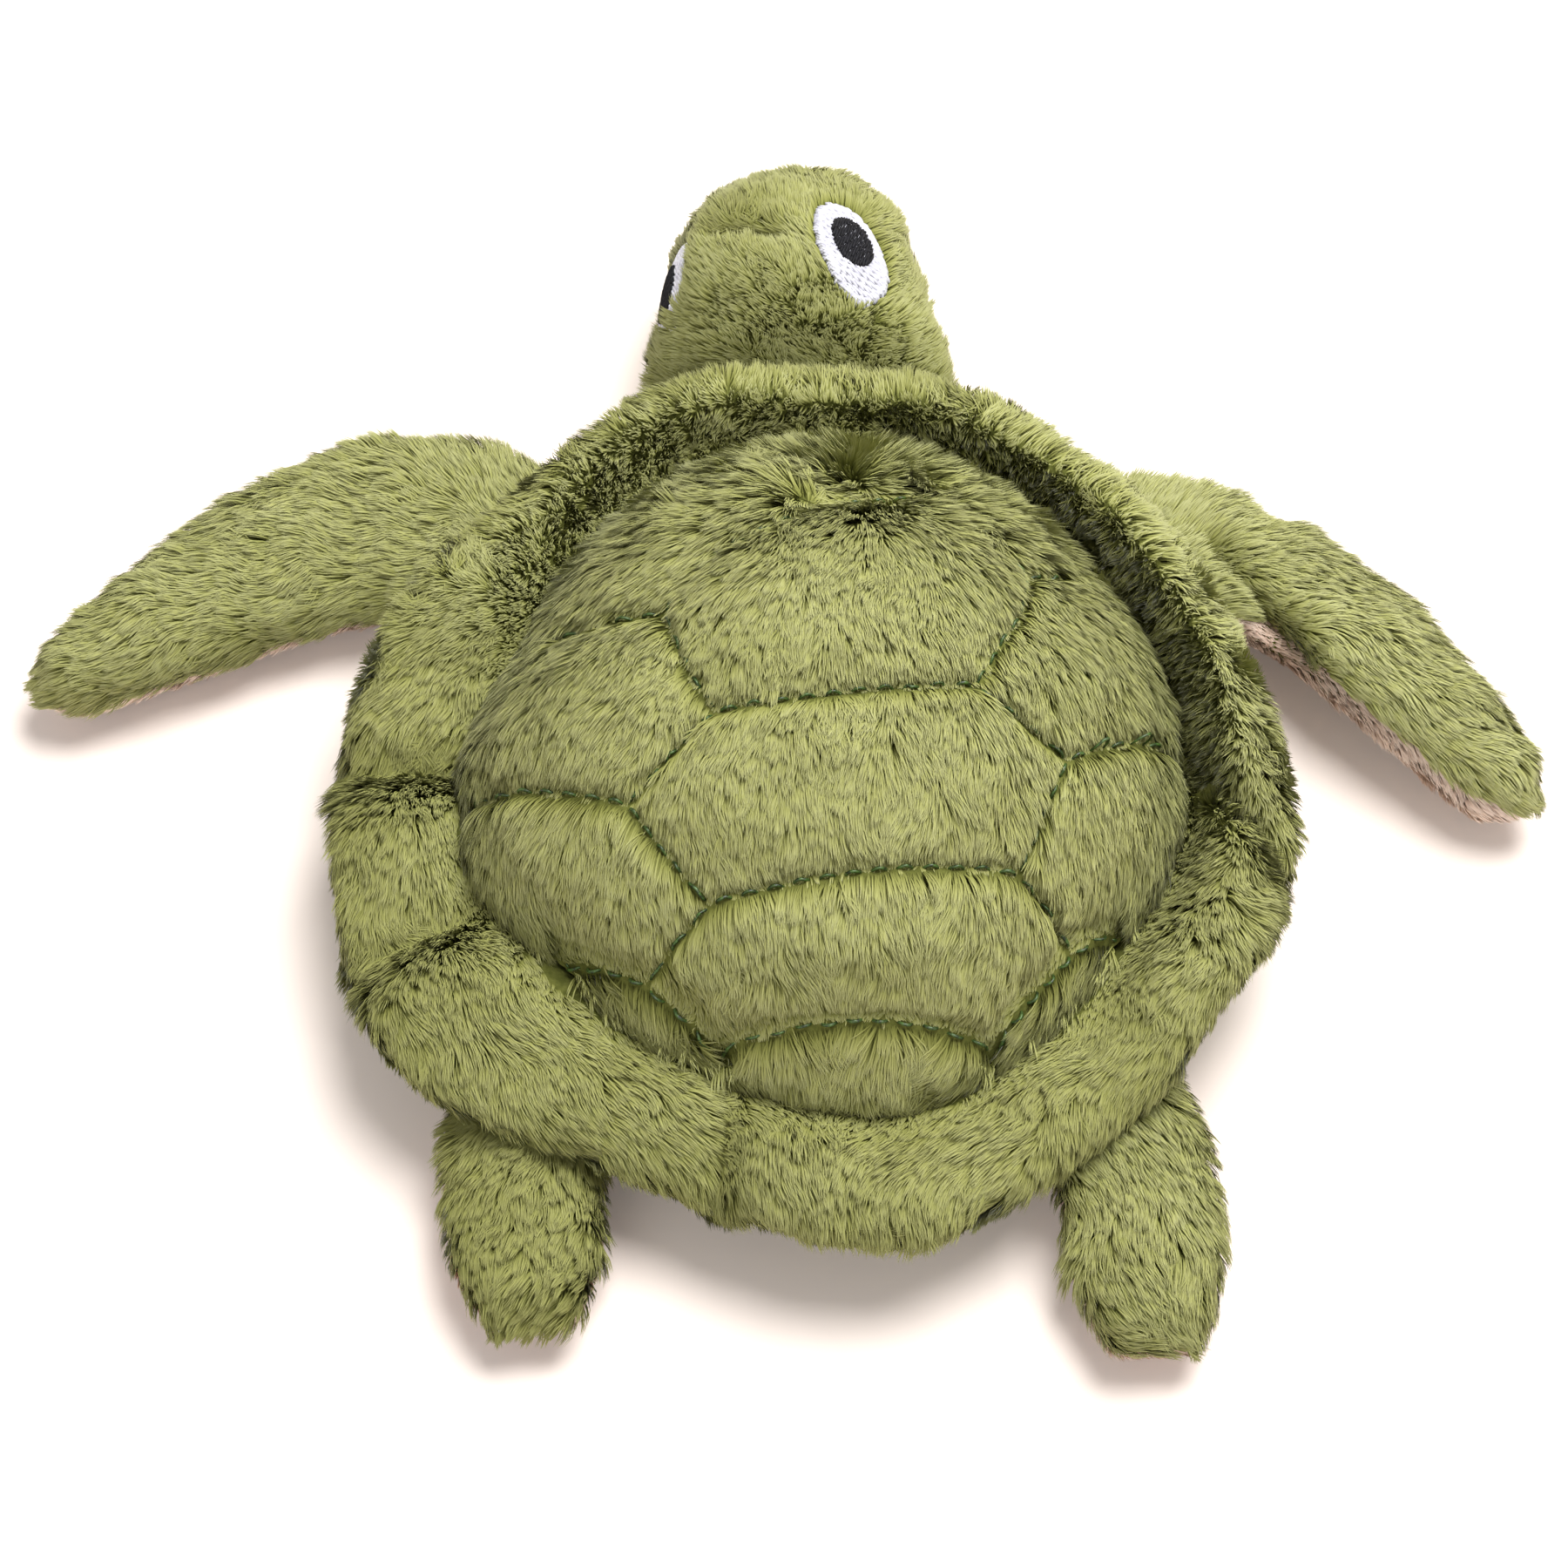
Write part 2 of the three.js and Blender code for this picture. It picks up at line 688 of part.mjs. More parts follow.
// Where each flipper is sewn to the body: round its outline, out from it and up, and how it lies
const flippers = [
  {
    name: 'left_front_flipper', form: frontFlipper, length: leftFrontLength, side: 1,
    around: -43.5 * degrees, gap: rootGap, height: rootHeight, heading: 11 * degrees, twist: -6 * degrees,
  },
  {
    name: 'right_front_flipper', form: frontFlipper, length: rightFrontLength, side: -1,
    around: 220.7 * degrees, gap: raisedRootGap, height: raisedRootHeight,
    heading: 152 * degrees, twist: -31 * degrees,
  },
  {
    name: 'left_rear_flipper', form: rearFlipper, length: leftRearLength, side: 1,
    around: 46.5 * degrees, gap: rearRootGap, height: rearRootHeight, heading: 82 * degrees, twist: 0,
  },
  {
    name: 'right_rear_flipper', form: rearFlipper, length: rightRearLength, side: -1,
    around: 132.7 * degrees, gap: rearRootGap, height: rearRootHeight, heading: 107.5 * degrees, twist: 0,
  },
];

function middleLine({ form, length, side }) {
  const places = form.lineShares.map(([ahead, aside]) => (
    new THREE.Vector3(length * ahead, length * aside * side, 0)
  ));
  return new THREE.CatmullRomCurve3(places, false, 'catmullrom');
}

// The share of full thickness near a flipper's rounded root and tip
function endRound({ form, length }, share) {
  const fromEnd = Math.min(share, 1 - share) * length / form.halfThickness;
  return fromEnd >= 1 ? 1 : Math.sqrt(1 - (1 - fromEnd) ** 2);
}

function flipperSheet(flipper, rows, columns, edge, bulge, inset) {
  const { form, length, twist } = flipper;
  const line = middleLine(flipper);
  const widthAt = along(form.widthShares);
  const short = inset / length;
  return rows.map((row) => {
    const place = THREE.MathUtils.lerp(short, 1 - short, row);
    const middle = line.getPoint(place);
    const ahead = line.getTangent(place);
    const turned = twist * THREE.MathUtils.smoothstep(place, 0, form.twistShare);
    const across = new THREE.Vector3(-ahead.y, ahead.x, 0).applyAxisAngle(ahead, turned);
    const up = ahead.clone().cross(across);
    const halfWidth = Math.max(form.halfWidth * widthAt(place) - inset, flipperEdge);
    const arch = form.arch * Math.sin(Math.PI * place);
    return columns.map((column) => {
      const swell = Math.sqrt(1 - column ** 2) * endRound(flipper, row);
      const point = middle.clone().addScaledVector(across, halfWidth * column);
      point.addScaledVector(up, edge + bulge * swell);
      return point.setZ(point.z + arch);
    });
  });
}

function flipperGroup(flipper) {
  const group = new THREE.Group();
  const { name, around, gap, height } = flipper;
  const seam = clear / 2;
  const outer = flipper.form.halfThickness;
  const inner = outer - flipperPanel;
  const fill = inner - fillClear;
  const panel = (edge, bulge) => (
    flipperSheet(flipper, panelRowShares, panelColumnShares, edge, bulge, 0)
  );
  const core = (bulge) => (
    flipperSheet(flipper, waddingRowShares, waddingColumnShares, 0, bulge, flipperPanel)
  );
  const full = outer - seam - flipperEdge;
  const hollow = inner - seam;
  const top = sheetSolid(panel(seam + flipperEdge, full), panel(seam, hollow));
  const under = sheetSolid(panel(-seam, -hollow), panel(-seam - flipperEdge, -full));
  const wadding = sheetSolid(core(fill), core(-fill));
  group.add(meshNamed(`${name}_top_panel`, facingOut(top), plushGreen));
  group.add(meshNamed(`${name}_under_panel`, facingOut(under), plushBeige));
  group.add(meshNamed(`${name}_wadding`, facingOut(wadding), fillMaterial));
  group.rotation.z = flipper.heading;
  group.position.set(
    (bodyHalfWidth + gap) * Math.cos(around),
    (bodyHalfLength + gap) * Math.sin(around),
    height,
  );
  return group;
}

function shellGroup() {
  const group = new THREE.Group();
  const waddingInset = plushThickness + clear;
  const fillInset = waddingInset + quiltWadding + clear;
  const under = (at) => (across) => -at(across);
  const skinAt = (across) => rimWaddingAt(across) + clear / 2;
  const outsideAt = (across) => skinAt(across) + rimPlushAt(across);
  const fillAt = (across) => rimWaddingAt(across) - clear / 2;
  group.add(meshNamed('dome_cover', facingOut(domeSheet(0, plushThickness, domeSteps)), plushGreen));
  const wadding = domeSheet(waddingInset, waddingInset + quiltWadding, fillSteps);
  group.add(meshNamed('dome_wadding', facingOut(wadding), fillMaterial));
  group.add(meshNamed('dome_stuffing', facingOut(domeFill(fillInset, fillSteps)), fillMaterial));
  group.add(meshNamed('scute_stitching', scuteStitching(), threadMaterial));
  group.add(meshNamed('shell_lining', facingOut(shellLining()), plushDark));
  group.add(meshNamed('rim_top_panel', rimPiece(skinAt, outsideAt), plushGreen));
  group.add(meshNamed('rim_under_panel', rimPiece(under(skinAt), under(outsideAt)), plushDark));
  group.add(meshNamed('rim_wadding', rimPiece(under(fillAt), fillAt), fillMaterial));
  return group;
}

function bodyGroup() {
  const group = new THREE.Group();
  group.add(meshNamed('body_top_panel', facingOut(bodyTopPanel()), plushDark));
  group.add(meshNamed('belly_panel', facingOut(bellyPanel()), plushBeige));
  group.add(meshNamed('body_stuffing', facingOut(bodyStuffing()), fillMaterial));
  return group;
}

const turtle = new THREE.Group();
turtle.add(shellGroup());
turtle.add(bodyGroup());
turtle.add(headGroup());
for (const flipper of flippers) turtle.add(flipperGroup(flipper));

export default turtle;
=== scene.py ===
# A small plush sea turtle, dressed over its CAD frame: padded skins, pile, stitching and eyes.
# Metres, in the frame's own axes: the head points along -Y, +X is the turtle's left, Z is up.
import math

import bmesh
import bpy
import numpy as np
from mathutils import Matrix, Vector
from mathutils.bvhtree import BVHTree
from mathutils.kdtree import KDTree
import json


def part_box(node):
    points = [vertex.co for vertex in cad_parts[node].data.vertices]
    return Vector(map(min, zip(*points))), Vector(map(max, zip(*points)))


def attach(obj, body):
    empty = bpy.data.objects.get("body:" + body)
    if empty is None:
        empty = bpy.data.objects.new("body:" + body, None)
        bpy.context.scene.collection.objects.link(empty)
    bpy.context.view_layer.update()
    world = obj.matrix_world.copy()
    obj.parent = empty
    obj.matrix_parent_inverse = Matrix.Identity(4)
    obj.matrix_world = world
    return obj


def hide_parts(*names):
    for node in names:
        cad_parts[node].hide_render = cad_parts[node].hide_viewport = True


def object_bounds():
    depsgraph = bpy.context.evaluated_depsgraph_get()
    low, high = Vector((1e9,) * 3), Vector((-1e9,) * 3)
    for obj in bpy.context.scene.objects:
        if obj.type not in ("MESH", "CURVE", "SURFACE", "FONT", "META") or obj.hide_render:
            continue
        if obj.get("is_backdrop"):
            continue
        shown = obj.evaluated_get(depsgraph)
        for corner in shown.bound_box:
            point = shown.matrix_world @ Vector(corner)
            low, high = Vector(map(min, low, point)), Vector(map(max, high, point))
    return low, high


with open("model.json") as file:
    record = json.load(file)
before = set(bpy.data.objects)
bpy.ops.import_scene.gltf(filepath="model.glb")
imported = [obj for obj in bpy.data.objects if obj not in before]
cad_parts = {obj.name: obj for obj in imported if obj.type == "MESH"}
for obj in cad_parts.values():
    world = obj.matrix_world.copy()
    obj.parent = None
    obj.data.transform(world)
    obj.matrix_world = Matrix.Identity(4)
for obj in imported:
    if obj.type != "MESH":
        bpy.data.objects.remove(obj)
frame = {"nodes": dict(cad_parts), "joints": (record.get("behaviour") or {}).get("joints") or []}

CAD_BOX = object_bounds()
MM = 0.001
DEGREES = math.pi / 180
FULL_TURN = 2 * math.pi
TINY = 1e-9

# Camera: the photograph's viewing angle and framing
VIEW_TARGET = Vector((4, 2, 20)) * MM
VIEW_DISTANCE = 650 * MM
VIEW_ELEVATION = 60 * DEGREES
SENSOR_WIDTH = 36
FRAMED_WIDTH = 207 * MM
CAMERA_NEAR = 10 * MM

# Skins: how finely they are made, and how far the dome's backing lies under the pile's tips
SKIN_VOXEL = 1.1 * MM
LIMB_VOXEL = 0.8 * MM
SHEET_VOXEL = 0.55 * MM
SKIN_SMOOTHING = 10
DOME_INSET = 2.2 * MM

# Scute lines, as places on the dome in shares of the seam's reach
SEAM_REACH = 49 * MM
SCUTE_SHARES = {
    "crownLeft": (-0.015, -0.58), "crownRight": (-0.325, -0.66),
    "shoulderRight": (-0.57, -0.4), "throatRight": (-0.545, -0.24),
    "shoulderLeft": (0.24, -0.45), "throatLeft": (0.4, -0.25), "bendLeft": (0.33, -0.03),
    "ridgeLeft": (0.26, 0.09), "ridgeRight": (-0.42, 0.01),
    "hipLeft": (0.49, 0.31), "hipRight": (-0.66, 0.17), "waistLeft": (0.34, 0.51),
    "loinLeft": (0.27, 0.58), "loinRight": (-0.53, 0.49),
    "flankLeft": (0.44, 0.71), "flankRight": (-0.67, 0.61),
    "rumpLeft": (0.26, 0.86), "rumpRight": (-0.46, 0.86),
    "sideLeftFront": (0.69, -0.29), "sideRightFront": (-0.67, -0.47),
    "sideLeftMiddle": (0.92, 0.13), "sideRightMiddle": (-0.94, -0.03),
    "sideLeftBack": (0.72, 0.55), "sideRightBack": (-0.83, 0.48),
    "tailLeft": (0.26, 0.92), "tailRight": (-0.5, 0.89),
}
SCUTE_CHAINS = [
    ("crownLeft", "crownRight", "shoulderRight", "throatRight", "ridgeRight",
     "ridgeLeft", "bendLeft", "throatLeft", "shoulderLeft", "crownLeft"),
    ("ridgeLeft", "hipLeft", "waistLeft", "loinLeft", "loinRight", "hipRight", "ridgeRight"),
    ("loinLeft", "flankLeft", "rumpLeft", "rumpRight", "flankRight", "loinRight"),
    ("throatLeft", "sideLeftFront"),
    ("shoulderRight", "sideRightFront"),
    ("hipLeft", "sideLeftMiddle"),
    ("hipRight", "sideRightMiddle"),
    ("flankLeft", "sideLeftBack"),
    ("flankRight", "sideRightBack"),
    ("rumpLeft", "tailLeft"),
    ("rumpRight", "tailRight"),
]
GROOVE_DEPTH = 0.5 * MM
GROOVE_HALF_WIDTH = 1.0 * MM
PILLOW_RISE = 1.0 * MM
PILLOW_REACH = 9 * MM

# Thread
THREAD_SIDES = 6
STITCH_PITCH = 3.3 * MM
STITCH_SHARE = 0.72
STITCH_RADIUS = 0.24 * MM
STITCH_LIFT = 0.75 * MM
LOOSE_STITCH_RISE = 2.4 * MM
SATIN_RADIUS = 0.23 * MM
SATIN_PITCH = 0.34 * MM
SATIN_LENGTH = 2.3 * MM
SATIN_BORDER = 1.3 * MM

# Pile
PILE_DENSITY = 17e6
PILE_WIDTH = 0.22 * MM
STRAND_RINGS = 4
STRAND_TAPER_SHARES = (0.85, 1.0, 0.75, 0.0)
MOST_STRANDS_A_PIECE = 38000
STRANDS_A_LOCK = 15
STRANDS_A_TUFT = 190
TONE_HALF_WIDTH = 0.008
SKIN_SHADING = 0.8
ROUND_SHADING = 0.25
FLOOR_CLEARANCE = 0.15 * MM
DRIFT_SCALE = 9 * MM
LOCK_SPREAD = 0.13
LOCK_LEAN = 5 * DEGREES
STRAND_LEAN = 4 * DEGREES
STRAND_ROLL = 18 * DEGREES
TUFT_PULL = 0.12
TONE_SCALE = 13 * MM
TONE_PATCHES = 0.05
TONE_LOCKS = 0.045
TONE_STRANDS = 0.09


def unit(vectors):
    """The same vectors at length one."""
    return vectors / np.maximum(np.linalg.norm(vectors, axis=-1, keepdims=True), TINY)


def dot(first, second):
    return np.sum(first * second, axis=-1, keepdims=True)


def smoothstep(low, high, value):
    share = np.clip((value - low) / (high - low), 0, 1)
    return share * share * (3 - 2 * share)


def bell(distance, half_width):
    return np.exp(-(distance / half_width) ** 2)


def waves(points, scale, seed, count=10):
    """A smooth random vector at each point, about one long, that changes over the given scale."""
    draw = np.random.default_rng(seed)
    total = np.zeros((len(points), 3))
    for _ in range(count):
        pace = unit(draw.normal(size=3)) * FULL_TURN / scale * draw.uniform(0.5, 1.3)
        phase = draw.uniform(0, FULL_TURN, 3)
        total += np.sin((points @ pace)[:, None] + phase) * unit(draw.normal(size=3))
    return total * math.sqrt(6 / count)


# Meshes

def link(name, mesh):
    piece = bpy.data.objects.new(name, mesh)
    bpy.context.scene.collection.objects.link(piece)
    return piece


def mesh_from(name, points, faces):
    mesh = bpy.data.meshes.new(name)
    mesh.from_pydata([tuple(p) for p in points], [], [tuple(f) for f in faces])
    mesh.polygons.foreach_set("use_smooth", np.ones(len(mesh.polygons), bool))
    mesh.update()
    return mesh


def applied(piece):
    """The piece with its modifiers made real."""
    bpy.context.view_layer.update()
    shown = piece.evaluated_get(bpy.context.evaluated_depsgraph_get())
    mesh = bpy.data.meshes.new_from_object(shown)
    piece.modifiers.clear()
    old = piece.data
    piece.data = mesh
    bpy.data.meshes.remove(old)
    mesh.polygons.foreach_set("use_smooth", np.ones(len(mesh.polygons), bool))
    return piece


def fused(name, nodes, voxel):
    """One closed smooth skin round several CAD nodes."""
    build = bmesh.new()
    for node in nodes:
        build.from_mesh(frame["nodes"][node].data)
    mesh = bpy.data.meshes.new(name)
    build.to_mesh(mesh)
    build.free()
    piece = link(name, mesh)
    remesh = piece.modifiers.new("fuse", "REMESH")
    remesh.mode = "VOXEL"
    remesh.voxel_size = voxel
    smooth = piece.modifiers.new("smooth", "SMOOTH")
    smooth.factor = 0.5
    smooth.iterations = SKIN_SMOOTHING
    return applied(piece)


def points_of(piece):
    flat = np.empty(len(piece.data.vertices) * 3, np.float32)
    piece.data.vertices.foreach_get("co", flat)
    return flat.reshape(-1, 3).astype(float)


def normals_of(piece):
    flat = np.empty(len(piece.data.vertices) * 3, np.float32)
    piece.data.vertices.foreach_get("normal", flat)
    return flat.reshape(-1, 3).astype(float)


def move(piece, offset):
    piece.data.vertices.foreach_set("co", (points_of(piece) + offset).astype(np.float32).ravel())
    piece.data.update()


def tree_of(piece):
    return BVHTree.FromPolygons(
        [v.co.copy() for v in piece.data.vertices],
        [tuple(p.vertices) for p in piece.data.polygons],
    )


def crease(piece, start, end, depth, half_width):
    """Press a line between two places in plan into a skin's upper side; a depth below 0 raises it."""
    points, normals = points_of(piece), normals_of(piece)
    gap = plan_gap(points, np.array(start), np.array(end))
    upper = smoothstep(-0.1, 0.4, normals[:, 2])
    move(piece, -normals * (depth * bell(gap, half_width) * upper)[:, None])


def plan_gap(points, start, end):
    along = end - start
    share = np.clip(((points[:, :2] - start) @ along) / (along @ along), 0, 1)
    return np.linalg.norm(points[:, :2] - start - share[:, None] * along, axis=1)


# Places on the shell

def outline_of(node, sectors=24):
    """How far a node reaches out from the Z axis, by the farthest point of each sector round it."""
    points = points_of(frame["nodes"][node])
    turn = np.arctan2(points[:, 1], points[:, 0]) % FULL_TURN
    reach = np.hypot(points[:, 0], points[:, 1])
    sector = (turn / FULL_TURN * sectors).astype(int)
    best = [max(np.flatnonzero(sector == k), key=lambda i: reach[i]) for k in range(sectors)]
    return turn[best], reach[best]


SEAM_OUTLINE = outline_of("dome_cover")
EDGE_OUTLINE = outline_of("rim_top_panel")


def turn_of(points):
    return np.arctan2(points[:, 1], points[:, 0]) % FULL_TURN


def rim_share(points):
    """0 at the dome's seam and 1 at the rim's edge."""
    turn = turn_of(points)
    seam = np.interp(turn, *SEAM_OUTLINE, period=FULL_TURN)
    edge = np.interp(turn, *EDGE_OUTLINE, period=FULL_TURN)
    return (np.hypot(points[:, 0], points[:, 1]) - seam) / (edge - seam)


def turn_gap(turn, centre):
    """How far round the shell each turn is from a centre, from -180 to 180 degrees."""
    return (turn - centre + math.pi) % FULL_TURN - math.pi


SCUTE_EDGES = [
    (np.array(SCUTE_SHARES[start]) * SEAM_REACH, np.array(SCUTE_SHARES[end]) * SEAM_REACH)
    for chain in SCUTE_CHAINS for start, end in zip(chain, chain[1:])
]


def line_gap(points):
    """The distance in plan from each point to the nearest scute line."""
    return np.min([plan_gap(points, start, end) for start, end in SCUTE_EDGES], axis=0)


# Farther than any point of the toy, and how far past its ends a line still stops the pile
FAR = 1.0
LINE_OVERRUN_SHARE = 0.02


def reach_to_line(points, heading):
    """How far each point is from the next scute line that lies in its heading, in plan."""
    ahead = unit(heading[:, :2])
    reach = np.full(len(points), FAR)
    for start, end in SCUTE_EDGES:
        line = end - start
        offset = start - points[:, :2]
        cross = ahead[:, 0] * line[1] - ahead[:, 1] * line[0]
        cross = np.where(np.abs(cross) < TINY, TINY, cross)
        way = (offset[:, 0] * line[1] - offset[:, 1] * line[0]) / cross
        place = (offset[:, 0] * ahead[:, 1] - offset[:, 1] * ahead[:, 0]) / cross
        met = (way > 0) & (place > -LINE_OVERRUN_SHARE) & (place < 1 + LINE_OVERRUN_SHARE)
        reach = np.where(met, np.minimum(reach, way), reach)
    return reach


# Pile

def scatter(piece, density, seed):
    """Random roots on a piece, so many for each square metre, with the skin's normals there."""
    draw = np.random.default_rng(seed)
    mesh = piece.data
    mesh.calc_loop_triangles()
    corners = np.empty(len(mesh.loop_triangles) * 3, np.int32)
    mesh.loop_triangles.foreach_get("vertices", corners)
    corners = corners.reshape(-1, 3)
    points, normals = points_of(piece), normals_of(piece)
    a, b, c = (points[corners[:, k]] for k in range(3))
    areas = np.linalg.norm(np.cross(b - a, c - a), axis=1) / 2
    count = int(areas.sum() * density)
    chosen = draw.choice(len(areas), count, p=areas / areas.sum())
    u, v = draw.random(count), draw.random(count)
    over = u + v > 1
    u[over], v[over] = 1 - u[over], 1 - v[over]
    shares = np.stack([1 - u - v, u, v], axis=1)
    roots = np.einsum("nk,nkd->nd", shares, points[corners[chosen]])
    facing = unit(np.einsum("nk,nkd->nd", shares, normals[corners[chosen]]))
    return roots, facing


def nearest_of(points, centres):
    """For each point, the number of the nearest centre."""
    tree = KDTree(len(centres))
    for number, centre in enumerate(centres):
        tree.insert(centre, number)
    tree.balance()
    return np.array([tree.find(point)[1] for point in points])


def gathers(roots, draw, strands):
    """Random strands that lead a lock each, and the lock of every strand."""
    leads = draw.choice(len(roots), max(len(roots) // strands, 1), replace=False)
    return leads, nearest_of(roots, roots[leads])


def strand_paths(roots, normals, comb, length, rise, settle):
    """Curved paths that leave the skin at the rise angle and lie down to the settle angle."""
    steps = STRAND_RINGS - 1
    along = unit(comb - normals * dot(comb, normals))
    paths = [roots]
    for step in range(steps):
        angle = rise + (settle - rise) * step / (steps - 1)
        heading = along * np.cos(angle)[:, None] + normals * np.sin(angle)[:, None]
        paths.append(paths[-1] + heading * (length / steps)[:, None])
    return np.stack(paths, axis=1)


def strand_mesh(name, paths, facing, normals, width, tone):
    """Tapered ribbons along the paths, with the tone and the way along each in their UV map."""
    count, rings = paths.shape[:2]
    heading = unit(np.gradient(paths, axis=1))
    side = unit(np.cross(heading, facing[:, None, :]))
    half = (width[:, None] * np.array(STRAND_TAPER_SHARES) / 2)[..., None]
    per = 2 * rings - 1
    points = np.empty((count, per, 3), np.float32)
    points[:, 0:per - 1:2] = (paths - side * half)[:, :-1]
    points[:, 1:per - 1:2] = (paths + side * half)[:, :-1]
    points[:, per - 1] = paths[:, -1]
    corners = []
    for low in range(0, per - 3, 2):
        corners += [low, low + 1, low + 3, low, low + 3, low + 2]
    corners += [per - 3, per - 2, per - 1]
    starts = np.arange(count) * per
    loops = (starts[:, None] + np.array(corners)).ravel().astype(np.int32)
    triangles = len(loops) // 3
    mesh = bpy.data.meshes.new(name)
    mesh.vertices.add(count * per)
    mesh.vertices.foreach_set("co", points.ravel())
    mesh.loops.add(len(loops))
    mesh.loops.foreach_set("vertex_index", loops)
    mesh.polygons.add(triangles)
    mesh.polygons.foreach_set("loop_start", np.arange(0, len(loops), 3, dtype=np.int32))
    mesh.polygons.foreach_set("use_smooth", np.ones(triangles, bool))
    mesh.update(calc_edges=True)
    middle = unit(facing * (1 - SKIN_SHADING) + normals * SKIN_SHADING)[:, None, :]
    shade = np.empty((count, per, 3), np.float32)
    shade[:, 0:per - 1:2] = unit(middle - side[:, :-1] * ROUND_SHADING)
    shade[:, 1:per - 1:2] = unit(middle + side[:, :-1] * ROUND_SHADING)
    shade[:, per - 1] = middle[:, 0]
    custom = mesh.attributes.new("custom_normal", "FLOAT_VECTOR", "POINT")
    custom.data.foreach_set("vector", shade.ravel())
    way = np.repeat(np.linspace(0, 1, rings), 2)[:per]
    aside = np.tile([-TONE_HALF_WIDTH, TONE_HALF_WIDTH], rings)[:per]
    aside[-1] = 0
    maps = np.empty((count, per, 2), np.float32)
    maps[..., 0] = np.clip(tone[:, None] + aside, 0.001, 0.999)
    maps[..., 1] = way
    layer = mesh.uv_layers.new(name="OFBake")
    layer.data.foreach_set("uv", maps.reshape(-1, 2)[loops].ravel())
    return mesh


def coat(name, roots, normals, comb, seed, body, slot, look, length, width, rise, settle,
         drift, pull=0.45, unruly=0.1, tone=0.5, lean=LOCK_LEAN):
    """Pile on some roots: strands in locks, combed one way, as pieces that ride on a body."""
    draw = np.random.default_rng(seed)
    count = len(roots)
    length, rise, settle, tone, pull = (
        np.broadcast_to(value, count).astype(float) for value in (length, rise, settle, tone, pull)
    )
    leads, lock = gathers(roots, draw, STRANDS_A_LOCK)
    tuft_leads, tuft = gathers(roots, draw, STRANDS_A_TUFT)
    locks = len(leads)
    combed = unit(comb) + waves(roots, DRIFT_SCALE, seed + 1) * np.asarray(drift).reshape(-1, 1)
    spread = draw.normal(size=(locks, 3))[lock] * LOCK_SPREAD
    combed += spread + draw.normal(size=(count, 3)) * np.asarray(unruly).reshape(-1, 1)
    length = length * draw.uniform(0.85, 1.08, locks)[lock] * draw.uniform(0.88, 1.06, count)
    lock_lean = draw.normal(size=locks)[lock] * np.broadcast_to(lean, count)
    rise = rise + lock_lean + draw.normal(size=count) * STRAND_LEAN
    settle = settle + lock_lean + draw.normal(size=count) * STRAND_LEAN
    paths = strand_paths(roots, normals, combed, length, rise, settle)
    ways = np.linspace(0, 1, STRAND_RINGS) ** 1.3
    for heads, member, strength in (
        (tuft_leads, tuft, np.full(count, TUFT_PULL)),
        (leads, lock, pull * draw.uniform(0.4, 1.4, locks)[lock]),
    ):
        share = np.clip(strength[:, None] * ways, 0, 0.85)[..., None]
        paths = paths * (1 - share) + paths[heads][member] * share
    paths[..., 2] = np.maximum(paths[..., 2], FLOOR_CLEARANCE)
    roll = draw.normal(size=count) * STRAND_ROLL
    sideways = unit(np.cross(normals, unit(combed)))
    facing = unit(normals * np.cos(roll)[:, None] + sideways * np.sin(roll)[:, None])
    tone = tone + waves(roots, TONE_SCALE, seed + 2)[:, 0] * TONE_PATCHES
    tone = tone + draw.normal(size=locks)[lock] * TONE_LOCKS
    tone = np.clip(tone + draw.normal(size=count) * TONE_STRANDS, 0.02, 0.98)
    widths = width * draw.uniform(0.75, 1.2, count)
    parts = math.ceil(count / MOST_STRANDS_A_PIECE)
    order = np.argsort(roots[:, 0])
    for number, chosen in enumerate(np.array_split(order, parts)):
        title = f"{name}_{number + 1}" if parts > 1 else name
        mesh = strand_mesh(
            title, paths[chosen], facing[chosen], normals[chosen], widths[chosen], tone[chosen],
        )
        mesh.materials.append(look)
        piece = link(title, mesh)
        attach(piece, body)


# Thread

# A direction that no thread runs along
TUBE_GUIDE = np.array([0.31, 0.17, 0.93])


def tube(points, radii, sides=THREAD_SIDES):
    """A closed thread along some points, as a list of points and one of faces."""
    points = np.array(points)
    heading = unit(np.gradient(points, axis=0))
    side = unit(np.cross(heading, TUBE_GUIDE))
    over = np.cross(side, heading)
    turns = np.arange(sides) * FULL_TURN / sides
    rings = [
        points[i] + radii[i] * (np.cos(turns)[:, None] * side[i] + np.sin(turns)[:, None] * over[i])
        for i in range(len(points))
    ]
    faces = []
    for i in range(len(points) - 1):
        for k in range(sides):
            a, b = i * sides + k, i * sides + (k + 1) % sides
            faces.append((a, a + sides, b + sides, b))
    last = (len(points) - 1) * sides
    faces.append(tuple(range(sides)))
    faces.append(tuple(last + k for k in reversed(range(sides))))
    return np.concatenate(rings), faces


def joined(name, parts):
    """One piece from several lists of points and faces."""
    points, faces = [], []
    for part_points, part_faces in parts:
        start = len(points)
        points.extend(part_points)
        faces.extend(tuple(start + k for k in face) for face in part_faces)
    return link(name, mesh_from(name, points, faces))


def dropped(tree, place, back, lift):
    """The point on a skin that a place meets when it comes down against the back direction."""
    hit, normal, _, _ = tree.ray_cast(Vector(place), -Vector(back))
    return None if hit is None else np.array(hit) + np.array(normal) * lift


# Materials

CLOTH_BUMP = 0.3 * MM
THREAD_BUMP = 0.1 * MM
WHITE_SATIN_BUMP = 0.05 * MM
BLACK_SATIN_BUMP = 0.06 * MM


def straight(value):
    value /= 255
    return value / 12.92 if value <= 0.04045 else ((value + 0.055) / 1.055) ** 2.4


def rgb(red, green, blue):
    """A linear colour from one written in 0 to 255."""
    return (straight(red), straight(green), straight(blue), 1)


